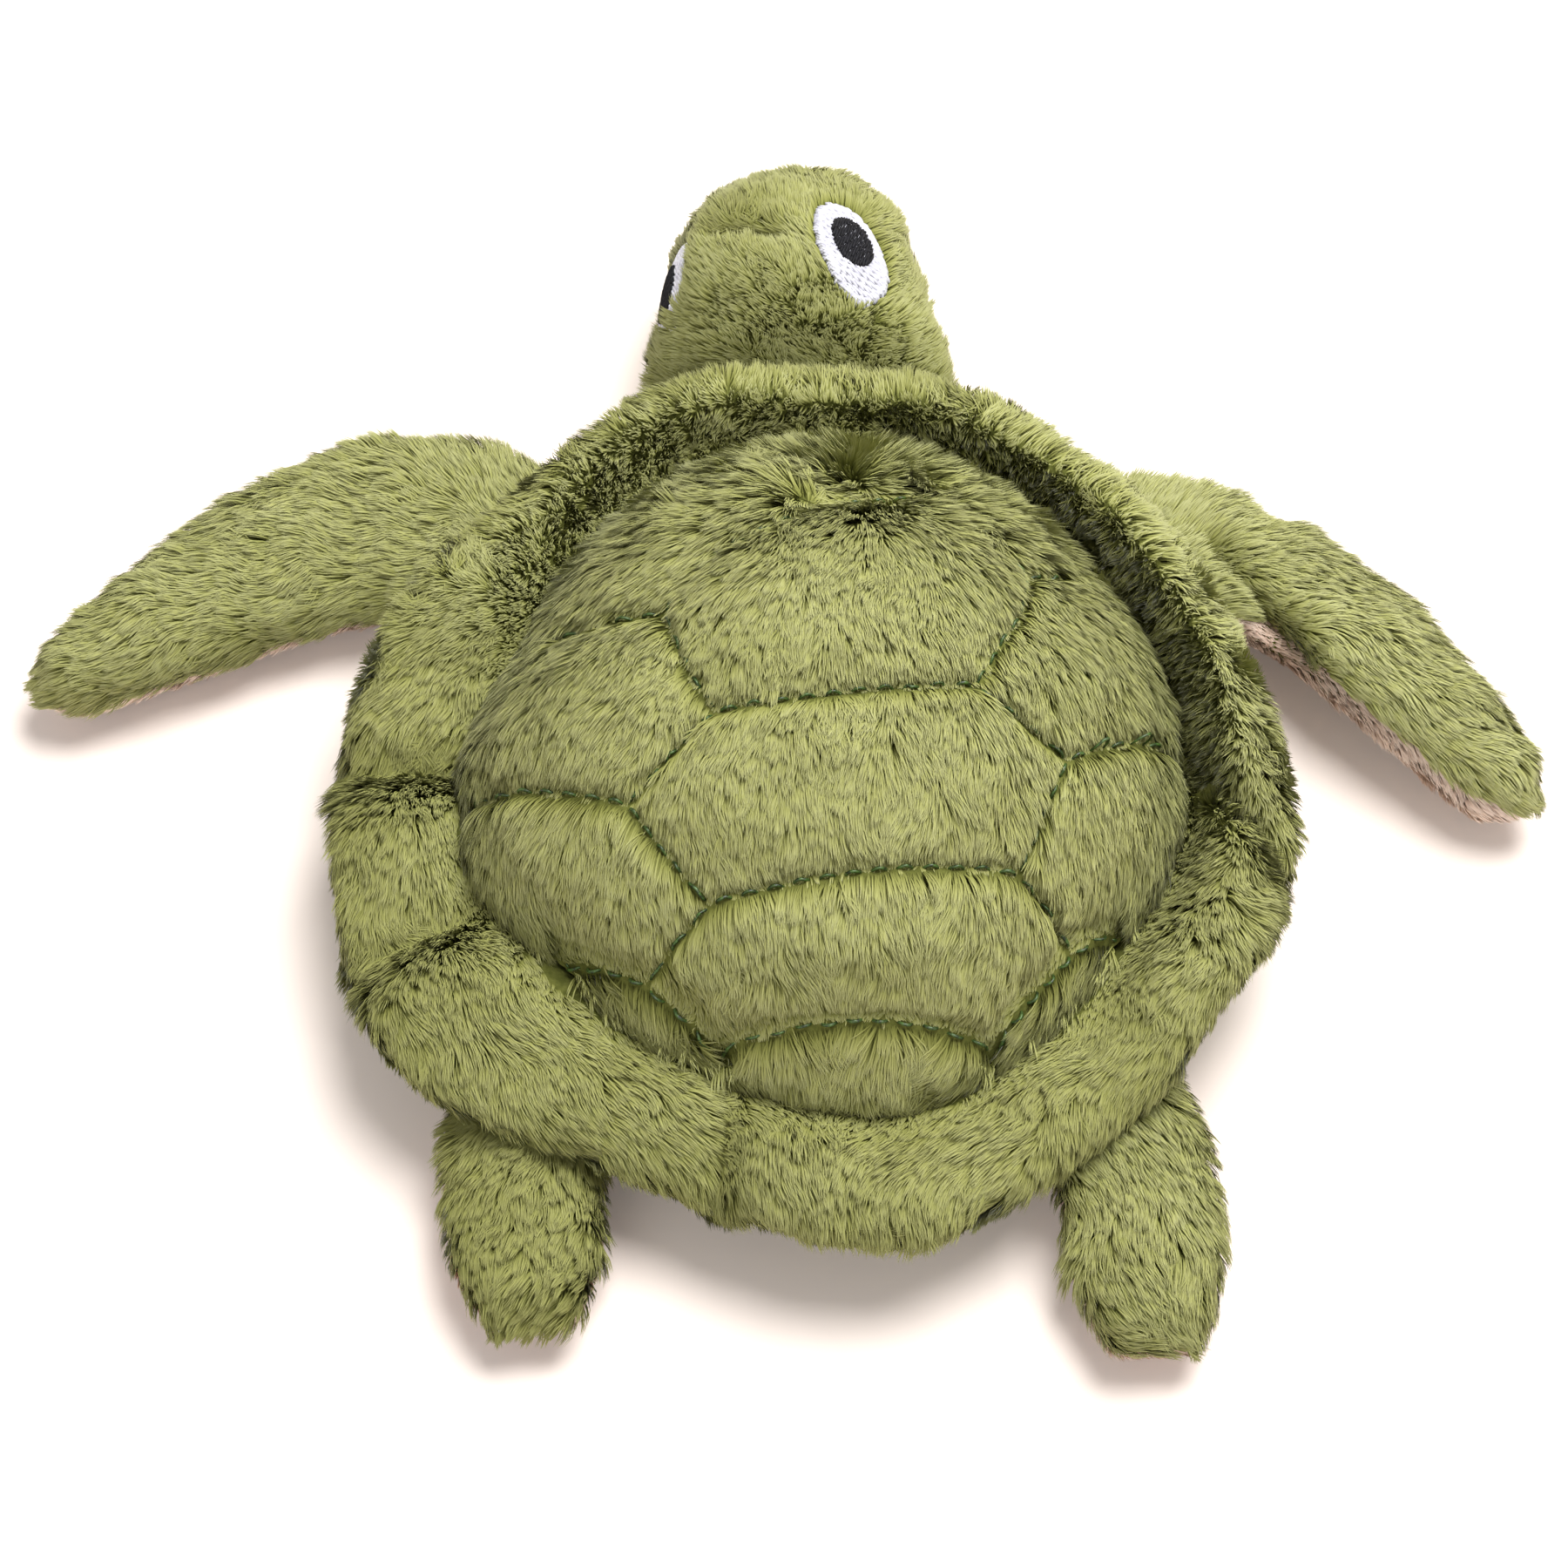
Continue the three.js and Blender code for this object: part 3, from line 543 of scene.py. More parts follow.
def material(name, roughness, sheen=0.0, sheen_roughness=0.5, specular=0.25):
    look = bpy.data.materials.new(name)
    look.use_nodes = True
    shader = look.node_tree.nodes["Principled BSDF"]
    shader.inputs["Roughness"].default_value = roughness
    shader.inputs["Specular IOR Level"].default_value = specular
    shader.inputs["Sheen Weight"].default_value = sheen
    shader.inputs["Sheen Roughness"].default_value = sheen_roughness
    return look, look.node_tree, shader


def ramp(tree, source, stops):
    node = tree.nodes.new("ShaderNodeValToRGB")
    elements = node.color_ramp.elements
    while len(elements) < len(stops):
        elements.new(0.5)
    for element, (place, colour) in zip(elements, stops):
        element.position = place
        element.color = colour
    tree.links.new(source, node.inputs["Fac"])
    return node.outputs["Color"]


def mixed(tree, factor, first, second):
    node = tree.nodes.new("ShaderNodeMix")
    node.data_type = "RGBA"
    for socket, value in ((node.inputs[0], factor), (node.inputs[6], first), (node.inputs[7], second)):
        tree.links.new(value, socket)
    return node.outputs[2]


def pile_material(name, dull, bright):
    """Pile dark at the root and light at the tip; each strand's tone picks between two ramps."""
    look, tree, shader = material(name, 0.65, sheen=0.12, sheen_roughness=0.4, specular=0.12)
    uv = tree.nodes.new("ShaderNodeUVMap")
    uv.uv_map = "OFBake"
    split = tree.nodes.new("ShaderNodeSeparateXYZ")
    tree.links.new(uv.outputs["UV"], split.inputs["Vector"])
    low = ramp(tree, split.outputs["Y"], dull)
    high = ramp(tree, split.outputs["Y"], bright)
    tree.links.new(mixed(tree, split.outputs["X"], low, high), shader.inputs["Base Color"])
    return look


def noisy_material(name, dark, light, scale, roughness=0.95, bump_depth=CLOTH_BUMP, **finish):
    """Cloth or thread whose colour and height vary over small distances."""
    look, tree, shader = material(name, roughness, **finish)
    place = tree.nodes.new("ShaderNodeTexCoord")
    noise = tree.nodes.new("ShaderNodeTexNoise")
    noise.inputs["Scale"].default_value = scale
    noise.inputs["Detail"].default_value = 6
    tree.links.new(place.outputs["Object"], noise.inputs["Vector"])
    colour = ramp(tree, noise.outputs["Fac"], ((0.35, dark), (0.65, light)))
    tree.links.new(colour, shader.inputs["Base Color"])
    bump = tree.nodes.new("ShaderNodeBump")
    bump.inputs["Strength"].default_value = 0.5
    bump.inputs["Distance"].default_value = bump_depth
    tree.links.new(noise.outputs["Fac"], bump.inputs["Height"])
    tree.links.new(bump.outputs["Normal"], shader.inputs["Normal"])
    return look


GREEN_PILE = pile_material(
    "green_pile",
    ((0, rgb(90, 93, 38)), (0.3, rgb(119, 121, 58)), (0.7, rgb(140, 141, 80)), (1, rgb(152, 152, 96))),
    ((0, rgb(110, 113, 52)), (0.3, rgb(145, 147, 80)), (0.7, rgb(174, 175, 112)), (1, rgb(190, 191, 142))),
)
BEIGE_PILE = pile_material(
    "beige_pile",
    ((0, rgb(172, 144, 124)), (0.5, rgb(216, 188, 168)), (1, rgb(234, 210, 192))),
    ((0, rgb(200, 172, 152)), (0.5, rgb(240, 217, 199)), (1, rgb(252, 238, 226))),
)
GREEN_BACKING = noisy_material("green_backing", rgb(84, 88, 36), rgb(108, 111, 52), 900)
BEIGE_BACKING = noisy_material("beige_backing", rgb(150, 124, 106), rgb(186, 160, 142), 900)
LINING_CLOTH = noisy_material("lining_cloth", rgb(84, 86, 48), rgb(104, 106, 62), 1400)
# Thread colour: dark green, the thread's own colour, mottled with a lighter green that is a painted glint
SCUTE_THREAD = noisy_material(
    "scute_thread", rgb(28, 38, 18), rgb(74, 104, 44), 2200,
    roughness=0.4, bump_depth=THREAD_BUMP, specular=0.6,
)
# Satin colour: white thread mottled with a greyer lilac that is painted shade between its stitches
WHITE_SATIN = noisy_material(
    "white_satin", rgb(190, 189, 202), rgb(220, 220, 227), 1500,
    roughness=0.5, bump_depth=WHITE_SATIN_BUMP, specular=0.4, sheen=0.2,
)
BLACK_SATIN = noisy_material(
    "black_satin", rgb(12, 12, 15), rgb(30, 30, 36), 1800,
    roughness=0.6, bump_depth=BLACK_SATIN_BUMP, specular=0.25,
)


def dress(piece, look, body, nodes):
    """A padded skin that stands for CAD nodes."""
    piece.data.materials.clear()
    piece.data.materials.append(look)
    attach(piece, body)
    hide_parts(*nodes)


def trim(piece, look, body, nodes):
    """A piece of thread or cloth that stands for CAD nodes."""
    piece.data.materials.clear()
    piece.data.materials.append(look)
    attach(piece, body)
    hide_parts(*nodes)


# Shell dome: quilted patches that swell between stitched grooves
DOME_NODES = ["dome_cover", "dome_wadding", "dome_stuffing"]

# Dome pile: it runs back from a whorl near the collar and stands up more at the front
WHORL = np.array([-6, -40, 0]) * MM
WHORL_RADIUS = 6 * MM
WHORL_SHIFT = 0.5 * MM
SPREAD_FADE = 60 * MM
FRONT_START = -20 * MM
FRONT_FULL = -34 * MM
LINE_CLEARANCE = 0.3 * MM
LINE_OVERLAP = 1.2 * MM
DOME_PILE_LENGTH = 5.2 * MM
FRONT_PILE_EXTRA = 0.6 * MM
LOOSE_PATCH = 6 * MM
LOOSE_PATCH_LEVEL = 1.15
LOOSE_PATCHES_END = 8 * MM
DOME_RISE = 36 * DEGREES
FRONT_RISE = 8 * DEGREES
PARTING_RISE = 22 * DEGREES
DOME_SETTLE = 9 * DEGREES
FRONT_SETTLE = 10 * DEGREES
PARTING_SETTLE = 30 * DEGREES
DOME_LEAN = 3 * DEGREES
FRONT_LEAN = 5 * DEGREES


def make_dome():
    piece = fused("dome_skin", DOME_NODES, SKIN_VOXEL)
    points, normals = points_of(piece), normals_of(piece)
    upward = smoothstep(-0.2, 0.35, normals[:, 2])
    gap = line_gap(points)
    groove = bell(gap, GROOVE_HALF_WIDTH) * GROOVE_DEPTH
    pillow = smoothstep(0, PILLOW_REACH, gap) * PILLOW_RISE
    move(piece, normals * (upward * (pillow - groove) - DOME_INSET)[:, None])
    dress(piece, GREEN_BACKING, "torso", DOME_NODES)
    return piece


def dome_pile(piece):
    roots, normals = scatter(piece, PILE_DENSITY, 11)
    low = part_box("dome_cover")[0].z
    gap = line_gap(roots)
    keep = (normals[:, 2] > -0.1) & (roots[:, 2] > low) & (gap > LINE_CLEARANCE)
    roots, normals = roots[keep], normals[keep]
    away = roots - WHORL
    fade = np.exp(-np.maximum(away[:, 1], 0) / SPREAD_FADE)
    front = smoothstep(FRONT_START, FRONT_FULL, roots[:, 1])
    spread = away[:, 0] * fade * (1 + 0.8 * front)
    parting = bell(np.hypot(away[:, 0], away[:, 1]), WHORL_RADIUS)
    comb = np.stack([spread, away[:, 1] + WHORL_SHIFT, np.zeros(len(roots))], axis=1)
    length = DOME_PILE_LENGTH + FRONT_PILE_EXTRA * front
    loose = (waves(roots, LOOSE_PATCH, 31)[:, 0] > LOOSE_PATCH_LEVEL) & (roots[:, 1] < LOOSE_PATCHES_END)
    overlap = (np.random.default_rng(32).random(len(roots)) - 0.55) * LINE_OVERLAP
    room = np.clip((reach_to_line(roots, comb) + overlap) / length, 0.16, 1)
    room = np.where(loose, np.maximum(room, 0.85), room)
    rise = DOME_RISE + FRONT_RISE * front + PARTING_RISE * parting
    settle = DOME_SETTLE + FRONT_SETTLE * front + PARTING_SETTLE * parting
    coat(
        "dome_pile", roots, normals, comb, 21, "torso", "shell_plush", GREEN_PILE,
        length=length * room, width=PILE_WIDTH,
        rise=rise * (0.35 + 0.65 * room), settle=settle * room,
        drift=0.14 + 0.5 * front, pull=0.26 + 0.12 * front, lean=DOME_LEAN + FRONT_LEAN * front,
    )


LINING_INSET_SHARE = 0.035
LINING_SLACK = 0.12 * MM
LINING_SLACK_SCALE = 14 * MM


def make_lining():
    """The plain cloth that closes the dome from below, with slack waves in it."""
    piece = fused("lining_sheet", ["shell_lining"], SHEET_VOXEL)
    points = points_of(piece)
    slack = np.array([0, 0, LINING_SLACK]) * waves(points, LINING_SLACK_SCALE, 3)[:, :1]
    move(piece, slack - points * [LINING_INSET_SHARE, LINING_INSET_SHARE, 0])
    trim(piece, LINING_CLOTH, "torso", ["shell_lining"])


STITCH_SINK = 0.5 * MM
LOOSE_PLACE = np.array([-44, 3]) * MM
LOOSE_REACH = 8 * MM
STITCH_POINTS = 7
STITCH_WANDER = 0.08 * MM
ABOVE_SHELL = 60 * MM


def scute_stitches(piece):
    """Dashes of thread that dip into the grooves at both ends, and a few loose loops."""
    tree = tree_of(piece)
    draw = np.random.default_rng(41)
    parts = []
    for start, end in SCUTE_EDGES:
        whole = np.linalg.norm(end - start)
        count = max(round(whole / STITCH_PITCH), 1)
        for k in range(count):
            slack = np.linalg.norm((start + end) / 2 - LOOSE_PLACE) < LOOSE_REACH
            rise = LOOSE_STITCH_RISE if slack and k % 2 else STITCH_LIFT
            shares = (k + 0.5 + STITCH_SHARE * np.linspace(-0.5, 0.5, STITCH_POINTS)) / count
            aside = draw.normal() * STITCH_WANDER
            across = np.array([-(end - start)[1], (end - start)[0]]) / whole
            places = start + (end - start) * shares[:, None] + across * aside
            arch = np.sin(np.linspace(0, math.pi, STITCH_POINTS))
            lifts = rise * arch ** 0.5 - STITCH_SINK * (1 - arch)
            line = [
                dropped(tree, (*place, ABOVE_SHELL), (0, 0, 1), lift) for place, lift in zip(places, lifts)
            ]
            radii = STITCH_RADIUS * draw.uniform(0.85, 1.1) * (0.55 + 0.45 * arch ** 0.5)
            if all(point is not None for point in line):
                parts.append(tube(line, radii))
    threads = joined("scute_stitches", parts)
    trim(threads, SCUTE_THREAD, "torso", ["scute_stitching"])


# Padded rim
RIM_NODES = ["rim_top_panel", "rim_under_panel", "rim_wadding"]

# Swells, and folds where the rise is below 0: turns in degrees at seam and edge, rise and half width in mm
RIM_SWELLS = [
    (-30, -24, 1.6, 10), (-2, -1, -3.4, 4), (11, 12, 2.2, 6), (24, 26, -3, 4), (38, 40, 1.8, 9),
    (76, 78, -2, 2.8), (88, 88, 1.2, 7), (120, 118, 1.2, 9), (150, 146, 1.6, 8), (184, 164, -4.5, 3.2),
]

# How far the edge is pushed outward: turns in degrees and pushes in mm
RIM_PUSHES = [
    (-30, 1), (5, 1.1), (25, 1.8), (41, 2.7), (60, 1.6), (80, 1),
    (120, 1.8), (150, 2.2), (185, 1.3), (215, 0.3), (300, 0),
]
RIM_TUCK = 3.8 * MM
ROLL_TURN = 205 * DEGREES
ROLL_SPREAD = 42 * DEGREES
ROLL_CREST = 3.4 * MM
ROLL_TROUGH = 4.2 * MM
RIM_WAVE = 0.5 * MM
RIM_WAVE_SCALE = 26 * MM

# Rim pile: shorter at the seam, and standing on the collar, on the rolled side and in the folds; its tone
# carries painted shade in the folds and the seam's trough, and painted light on the rolled edge and where
# it stands
RIM_SEAM_PILE = 2.2 * MM
RIM_PILE_EXTRA = 2.8 * MM
STANDING_SHORTER = 2 * MM
FRINGE_SHORTER = 1.6 * MM
RIM_RISE = 38 * DEGREES
STANDING_RISE = 36 * DEGREES
FOLD_RISE = 16 * DEGREES
RIM_SETTLE = 10 * DEGREES
STANDING_SETTLE = 56 * DEGREES
FOLD_SETTLE = 26 * DEGREES


def swell_at(turn, share, reach, at_seam, at_edge, half_width):
    """How near each place on the rim is to the middle of a fold or swell: 1 there, 0 far off."""
    centre = (at_seam + (at_edge - at_seam) * share) * DEGREES
    return bell(turn_gap(turn, centre) * reach, half_width * MM)


def rolled_share(turn):
    return bell(turn_gap(turn, ROLL_TURN), ROLL_SPREAD)


def headward_share(turn):
    return smoothstep(0.1, 0.8, -np.sin(turn))


def make_rim():
    piece = fused("rim_skin", RIM_NODES, SKIN_VOXEL)
    points = points_of(piece)
    turn, share = turn_of(points), np.clip(rim_share(points), 0, 1)
    reach = np.hypot(points[:, 0], points[:, 1])
    lift = np.zeros(len(points))
    for at_seam, at_edge, rise, half_width in RIM_SWELLS:
        lift += rise * MM * swell_at(turn, share, reach, at_seam, at_edge, half_width)
    lift *= smoothstep(0.02, 0.3, share)
    lift += waves(points, RIM_WAVE_SCALE, 5)[:, 0] * RIM_WAVE * share
    crest = ROLL_CREST * bell(share - 0.68, 0.28)
    trough = ROLL_TROUGH * bell(share - 0.12, 0.15)
    lift += rolled_share(turn) * (crest - trough)
    outward = np.stack([np.cos(turn), np.sin(turn), np.zeros(len(points))], axis=1)
    push = np.interp(turn, *np.array(RIM_PUSHES).T * [[DEGREES], [MM]], period=FULL_TURN) * share
    push -= RIM_TUCK * smoothstep(0.25, 0, share)
    move(piece, lift[:, None] * np.array([0, 0, 1]) + push[:, None] * outward)
    dress(piece, GREEN_BACKING, "torso", RIM_NODES)
    return piece


def rim_pile(piece):
    roots, normals = scatter(piece, PILE_DENSITY, 12)
    turn, share = turn_of(roots), rim_share(roots)
    raised = np.clip(headward_share(turn) + rolled_share(turn), 0, 1)
    keep = share > -0.04 - 0.16 * raised
    roots, normals, turn, share, raised = (part[keep] for part in (roots, normals, turn, share, raised))
    reach = np.hypot(roots[:, 0], roots[:, 1])
    folded = np.max([
        swell_at(turn, share, reach, at_seam, at_edge, half_width)
        for at_seam, at_edge, rise, half_width in RIM_SWELLS if rise < 0
    ], axis=0)
    outward = np.stack([np.cos(turn), np.sin(turn), np.zeros(len(roots))], axis=1)
    round_it = np.stack([-np.sin(turn), np.cos(turn), np.zeros(len(roots))], axis=1)
    side = np.clip(np.cos(turn) * 2.2, -1, 1)
    headward = headward_share(turn)
    tailward = smoothstep(0.6, 1, np.sin(turn))
    spread = 0.3 + 0.55 * headward + 0.25 * tailward + 0.35 * smoothstep(0.7, 1, share)
    comb = round_it * side[:, None] + outward * spread[:, None]
    standing = raised * smoothstep(-0.15, 0.3, -dot(normals, outward)[:, 0])
    deep = raised * smoothstep(0.3, 0.05, share)
    painted_light_edge = rolled_share(turn) * smoothstep(0.5, 0.9, share)
    fringe = raised * (1 - standing) * smoothstep(0.75, 1, share)
    near_seam = smoothstep(0.0, 0.3, share)
    top = smoothstep(-0.3, 0.2, normals[:, 2])
    under_edge = rolled_share(turn) * (1 - top)
    extra = RIM_PILE_EXTRA - STANDING_SHORTER * standing - FRINGE_SHORTER * fringe
    length = RIM_SEAM_PILE + extra * near_seam * (0.7 + 0.3 * top)
    # Tone: painted shade lowers it in the folds and in the trough by the seam; painted light raises it on
    # the rolled rim's outer edge, and painted fill light raises it where the pile stands
    coat(
        "rim_pile", roots, normals, comb, 22, "torso", "shell_plush", GREEN_PILE,
        length=length * (1 - 0.4 * under_edge), width=PILE_WIDTH,
        rise=RIM_RISE + STANDING_RISE * standing + FOLD_RISE * (fringe + folded),
        settle=RIM_SETTLE + STANDING_SETTLE * standing + FOLD_SETTLE * (fringe + folded),
        lean=LOCK_LEAN * (1 + raised),
        drift=0.2 + 0.1 * standing + 0.5 * fringe, pull=0.24, unruly=0.1 + 0.2 * raised,
        tone=0.2 + 0.62 * standing - 0.04 * fringe - 0.3 * folded - 0.5 * deep + 0.7 * painted_light_edge,
    )


# Body
BODY_NODES = ["body_top_panel", "belly_panel", "body_stuffing"]
BODY_TOP_HEIGHT = 12 * MM
BELLY_PILE_DENSITY = 4.2e6
BELLY_PILE_LENGTH = 2.6 * MM
BELLY_PILE_WIDTH = 0.34 * MM
BELLY_RISE = 50 * DEGREES
BELLY_SETTLE = 18 * DEGREES


def make_body():
    piece = fused("body_skin", BODY_NODES, SKIN_VOXEL)
    dress(piece, BEIGE_BACKING, "torso", BODY_NODES)
    piece.data.materials.append(GREEN_BACKING)
    for face in piece.data.polygons:
        face.material_index = int(face.center.z > BODY_TOP_HEIGHT or face.normal.z > 0)
    roots, normals = scatter(piece, BELLY_PILE_DENSITY, 13)
    keep = (roots[:, 2] < BODY_TOP_HEIGHT) & (normals[:, 2] < 0)
    roots, normals = roots[keep], normals[keep]
    comb = np.tile([0.0, 1.0, 0.0], (len(roots), 1))
    coat(
        "belly_pile", roots, normals, comb, 23, "torso", "belly_plush", BEIGE_PILE,
        length=BELLY_PILE_LENGTH, width=BELLY_PILE_WIDTH, rise=BELLY_RISE, settle=BELLY_SETTLE, drift=0.5,
    )


# Head
HEAD_NODES = ["head_crown_panel", "head_snout_panel", "head_chin_panel", "head_stuffing"]
BROW_START = np.array([13, -79]) * MM
BROW_END = np.array([4, -76]) * MM
BROW_DEPTH = 2.8 * MM
BROW_HALF_WIDTH = 1.2 * MM
BROW_SHADE_AHEAD = np.array([0, -3]) * MM
BROW_SHADE_HALF_WIDTH = 3 * MM
CHEEK_START = np.array([-12.5, -85]) * MM
CHEEK_END = np.array([-15, -76]) * MM
CHEEK_RISE = 1.6 * MM
CHEEK_HALF_WIDTH = 4 * MM

# Head pile: it covers the left eye's rear end and stands on the nape; its tone has painted light on the
# head's right side, and painted shade on the nape, along the brow crease and in a band ahead of it
EYE_REAR_START = 3 * MM
EYE_REAR_END = 6 * MM
NAPE_START = -79 * MM
NAPE_FULL = -68 * MM
PAINTED_LIGHT_SIDE_START = -7 * MM
PAINTED_LIGHT_SIDE_FULL = -14 * MM
HEAD_PILE_LENGTH = 4 * MM
CHIN_LENGTH_SHARE = 0.6
HEAD_RISE = 44 * DEGREES
NAPE_RISE = 30 * DEGREES
HEAD_SETTLE = 20 * DEGREES
NAPE_SETTLE = 46 * DEGREES


def make_head():
    piece = fused("head_skin", HEAD_NODES, LIMB_VOXEL)
    crease(piece, BROW_START, BROW_END, BROW_DEPTH, BROW_HALF_WIDTH)
    crease(piece, CHEEK_START, CHEEK_END, -CHEEK_RISE, CHEEK_HALF_WIDTH)
    dress(piece, GREEN_BACKING, "head", HEAD_NODES)
    return piece


def nearest_panel(roots, first, second):
    """Which roots lie nearer to the first CAD panel than to the second."""
    trees = [tree_of(frame["nodes"][name]) for name in (first, second)]
    return np.array([
        trees[0].find_nearest(Vector(root))[3] < trees[1].find_nearest(Vector(root))[3] for root in roots
    ])


def head_pile(piece, eyes):
    roots, normals = scatter(piece, PILE_DENSITY, 14)
    keep = np.ones(len(roots), bool)
    near_eye = np.zeros(len(roots))
    away = np.zeros((len(roots), 3))
    for eye in eyes:
        distance = eye.share(roots)
        behind = smoothstep(EYE_REAR_START, EYE_REAR_END, roots[:, 1] - eye.centre[1]) * (eye.centre[0] > 0)
        weight = smoothstep(1.7, 1.05, distance) * (1 - behind)
        keep &= distance > 0.98 - 0.25 * behind
        near_eye = np.maximum(near_eye, weight)
        away += weight[:, None] * unit(roots - eye.centre)
    crown = nearest_panel(roots, "head_crown_panel", "head_chin_panel")
    snout = nearest_panel(roots, "head_snout_panel", "head_chin_panel")
    green = crown | snout
    comb = np.tile([0.0, -1.0, 0.0], (len(roots), 1)) + normals * [0.9, 0.2, 0.1]
    comb = unit(comb) + away * 0.8
    back = smoothstep(NAPE_START, NAPE_FULL, roots[:, 1]) * smoothstep(0.35, 0.8, normals[:, 2])
    for title, chosen, look, slot, scale in (
        ("head_pile", keep & green, GREEN_PILE, "shell_plush", 1),
        ("chin_pile", keep & ~green, BEIGE_PILE, "belly_plush", CHIN_LENGTH_SHARE),
    ):
        standing = back[chosen]
        ahead = plan_gap(roots[chosen], BROW_START + BROW_SHADE_AHEAD, BROW_END + BROW_SHADE_AHEAD)
        shaded = bell(ahead, BROW_SHADE_HALF_WIDTH)
        on_brow_crease = bell(plan_gap(roots[chosen], BROW_START, BROW_END), BROW_HALF_WIDTH)
        painted_light_side = smoothstep(PAINTED_LIGHT_SIDE_START, PAINTED_LIGHT_SIDE_FULL, roots[chosen, 0])
        short = (1 - 0.3 * near_eye[chosen]) * (1 - 0.3 * standing) * (1 - 0.6 * on_brow_crease)
        # Tone: painted light on the head's right side; painted shade on the nape, along the brow crease and
        # in a band ahead of the brow
        coat(
            title, roots[chosen], normals[chosen], comb[chosen], 24, "head", slot, look,
            length=HEAD_PILE_LENGTH * scale * short, width=PILE_WIDTH,
            rise=HEAD_RISE + NAPE_RISE * standing, settle=HEAD_SETTLE + NAPE_SETTLE * standing,
            drift=0.3 - 0.1 * standing, pull=0.26, unruly=0.1 + 0.15 * standing,
            tone=0.54 - 0.1 * standing - 0.3 * shaded - 0.45 * on_brow_crease + 0.25 * painted_light_side,
        )


# Eyes: how deep behind its middle a place still counts, and how far off the rays to the skin start
EYE_DEPTH = 8 * MM
EYE_ABOVE = 12 * MM
OUTSIDE_SHARE = 9.0
SATIN_POINTS = 6
SATIN_BOW = 0.1 * MM
SATIN_LEVEL = 0.1 * MM
SATIN_UNEVEN = 0.04 * MM
SATIN_WANDER = 0.03 * MM
SATIN_SHORTEST = 0.3 * MM
SATIN_FILL_SHARE = 0.94
PAD_SIDES = 40
PAD_RING_SHARES = (0.35, 0.7, 0.86, 0.92)
PAD_EDGE_DROP = 0.15 * MM
PAD_SINK = 0.5 * MM
BORDER_LIFT = 0.2 * MM
FULL_BORDER_HALF_WIDTH = 4 * MM


class Eye:
    """An embroidered oval on the head's skin: its middle, its axes and its half sizes."""

    def __init__(self, node, outside):
        points = points_of(frame["nodes"][node])
        self.centre = points.mean(axis=0)
        _, _, axes = np.linalg.svd(points - self.centre, full_matrices=False)
        self.long, self.short, self.out = axes
        if self.out @ (self.centre - outside) < 0:
            self.out = -self.out
        self.short = np.cross(self.out, self.long)
        spread = points - self.centre
        self.half_long = np.abs(spread @ self.long).max()
        self.half_short = np.abs(spread @ self.short).max()

    def share(self, points):
        """How far out from its middle points lie: 1 on the oval's edge."""
        spread = points - self.centre
        flat = np.hypot(spread @ self.long / self.half_long, spread @ self.short / self.half_short)
        return np.where(spread @ self.out > -EYE_DEPTH, flat, OUTSIDE_SHARE)

    def place(self, long, short):
        return self.centre + self.long * long + self.short * short + self.out * EYE_ABOVE


def satin_stitch(eye, tree, start, end, low, high, radius):
    """One thread on the oval as a list of one, or an empty list where it misses the skin."""
    ways = np.linspace(0, 1, SATIN_POINTS)
    arch = np.sin(ways * math.pi)
    line = []
    for way, bow in zip(ways, arch):
        long, short = start + (end - start) * way
        height = low + (high - low) * way + SATIN_BOW * bow
        line.append(dropped(tree, eye.place(long, short), eye.out, height))
    if any(point is None for point in line):
        return []
    return [tube(line, radius * (0.6 + 0.4 * np.sqrt(arch)))]


def satin_pad(eye, tree, base):
    """The pad below the satin, whose edge sinks into the skin."""
    points = [dropped(tree, eye.place(0, 0), eye.out, base)]
    faces = []
    drops = (0, 0, -PAD_EDGE_DROP, -base - PAD_SINK)
    for share, drop in zip(PAD_RING_SHARES, drops):
        for k in range(PAD_SIDES):
            turn = FULL_TURN * k / PAD_SIDES
            long = share * eye.half_long * math.cos(turn)
            short = share * eye.half_short * math.sin(turn)
            points.append(dropped(tree, eye.place(long, short), eye.out, base + drop))
    last = 1 + (len(PAD_RING_SHARES) - 1) * PAD_SIDES
    for k in range(PAD_SIDES):
        after = (k + 1) % PAD_SIDES
        faces.append((0, 1 + k, 1 + after))
        for low in range(1, last, PAD_SIDES):
            high = low + PAD_SIDES
            faces.append((low + k, high + k, high + after, low + after))
    faces.append(tuple(last + k for k in reversed(range(PAD_SIDES))))
    return points, faces


def satin_fill(eye, base, slant, draw):
    """Staggered stitches in slanting rows over the oval."""
    ahead = np.array([math.cos(slant), math.sin(slant)])
    across = np.array([-ahead[1], ahead[0]])
    halves = np.array([eye.half_long, eye.half_short]) * SATIN_FILL_SHARE
    widest = np.linalg.norm(across * halves)
    rows = int(2 * widest / SATIN_PITCH)
    for row in range(rows):
        offset = -widest + (row + 0.5) * 2 * widest / rows
        middle, direction = across * offset / halves, ahead / halves
        a, b, c = direction @ direction, middle @ direction, middle @ middle - 1
        if b * b - a * c <= 0:
            continue
        root = math.sqrt(b * b - a * c)
        low, high = (-b - root) / a, (-b + root) / a
        cut = low - SATIN_LENGTH * ((row * 0.37) % 1)
        while cut < high:
            start, end = max(cut, low), min(cut + SATIN_LENGTH, high)
            if end - start > SATIN_SHORTEST:
                wander = across * draw.normal() * SATIN_WANDER
                height = base + SATIN_LEVEL + SATIN_UNEVEN * draw.random()
                first = across * offset + ahead * start + wander
                last = across * offset + ahead * end - wander
                yield first, last, height, height, SATIN_RADIUS
            cut += SATIN_LENGTH


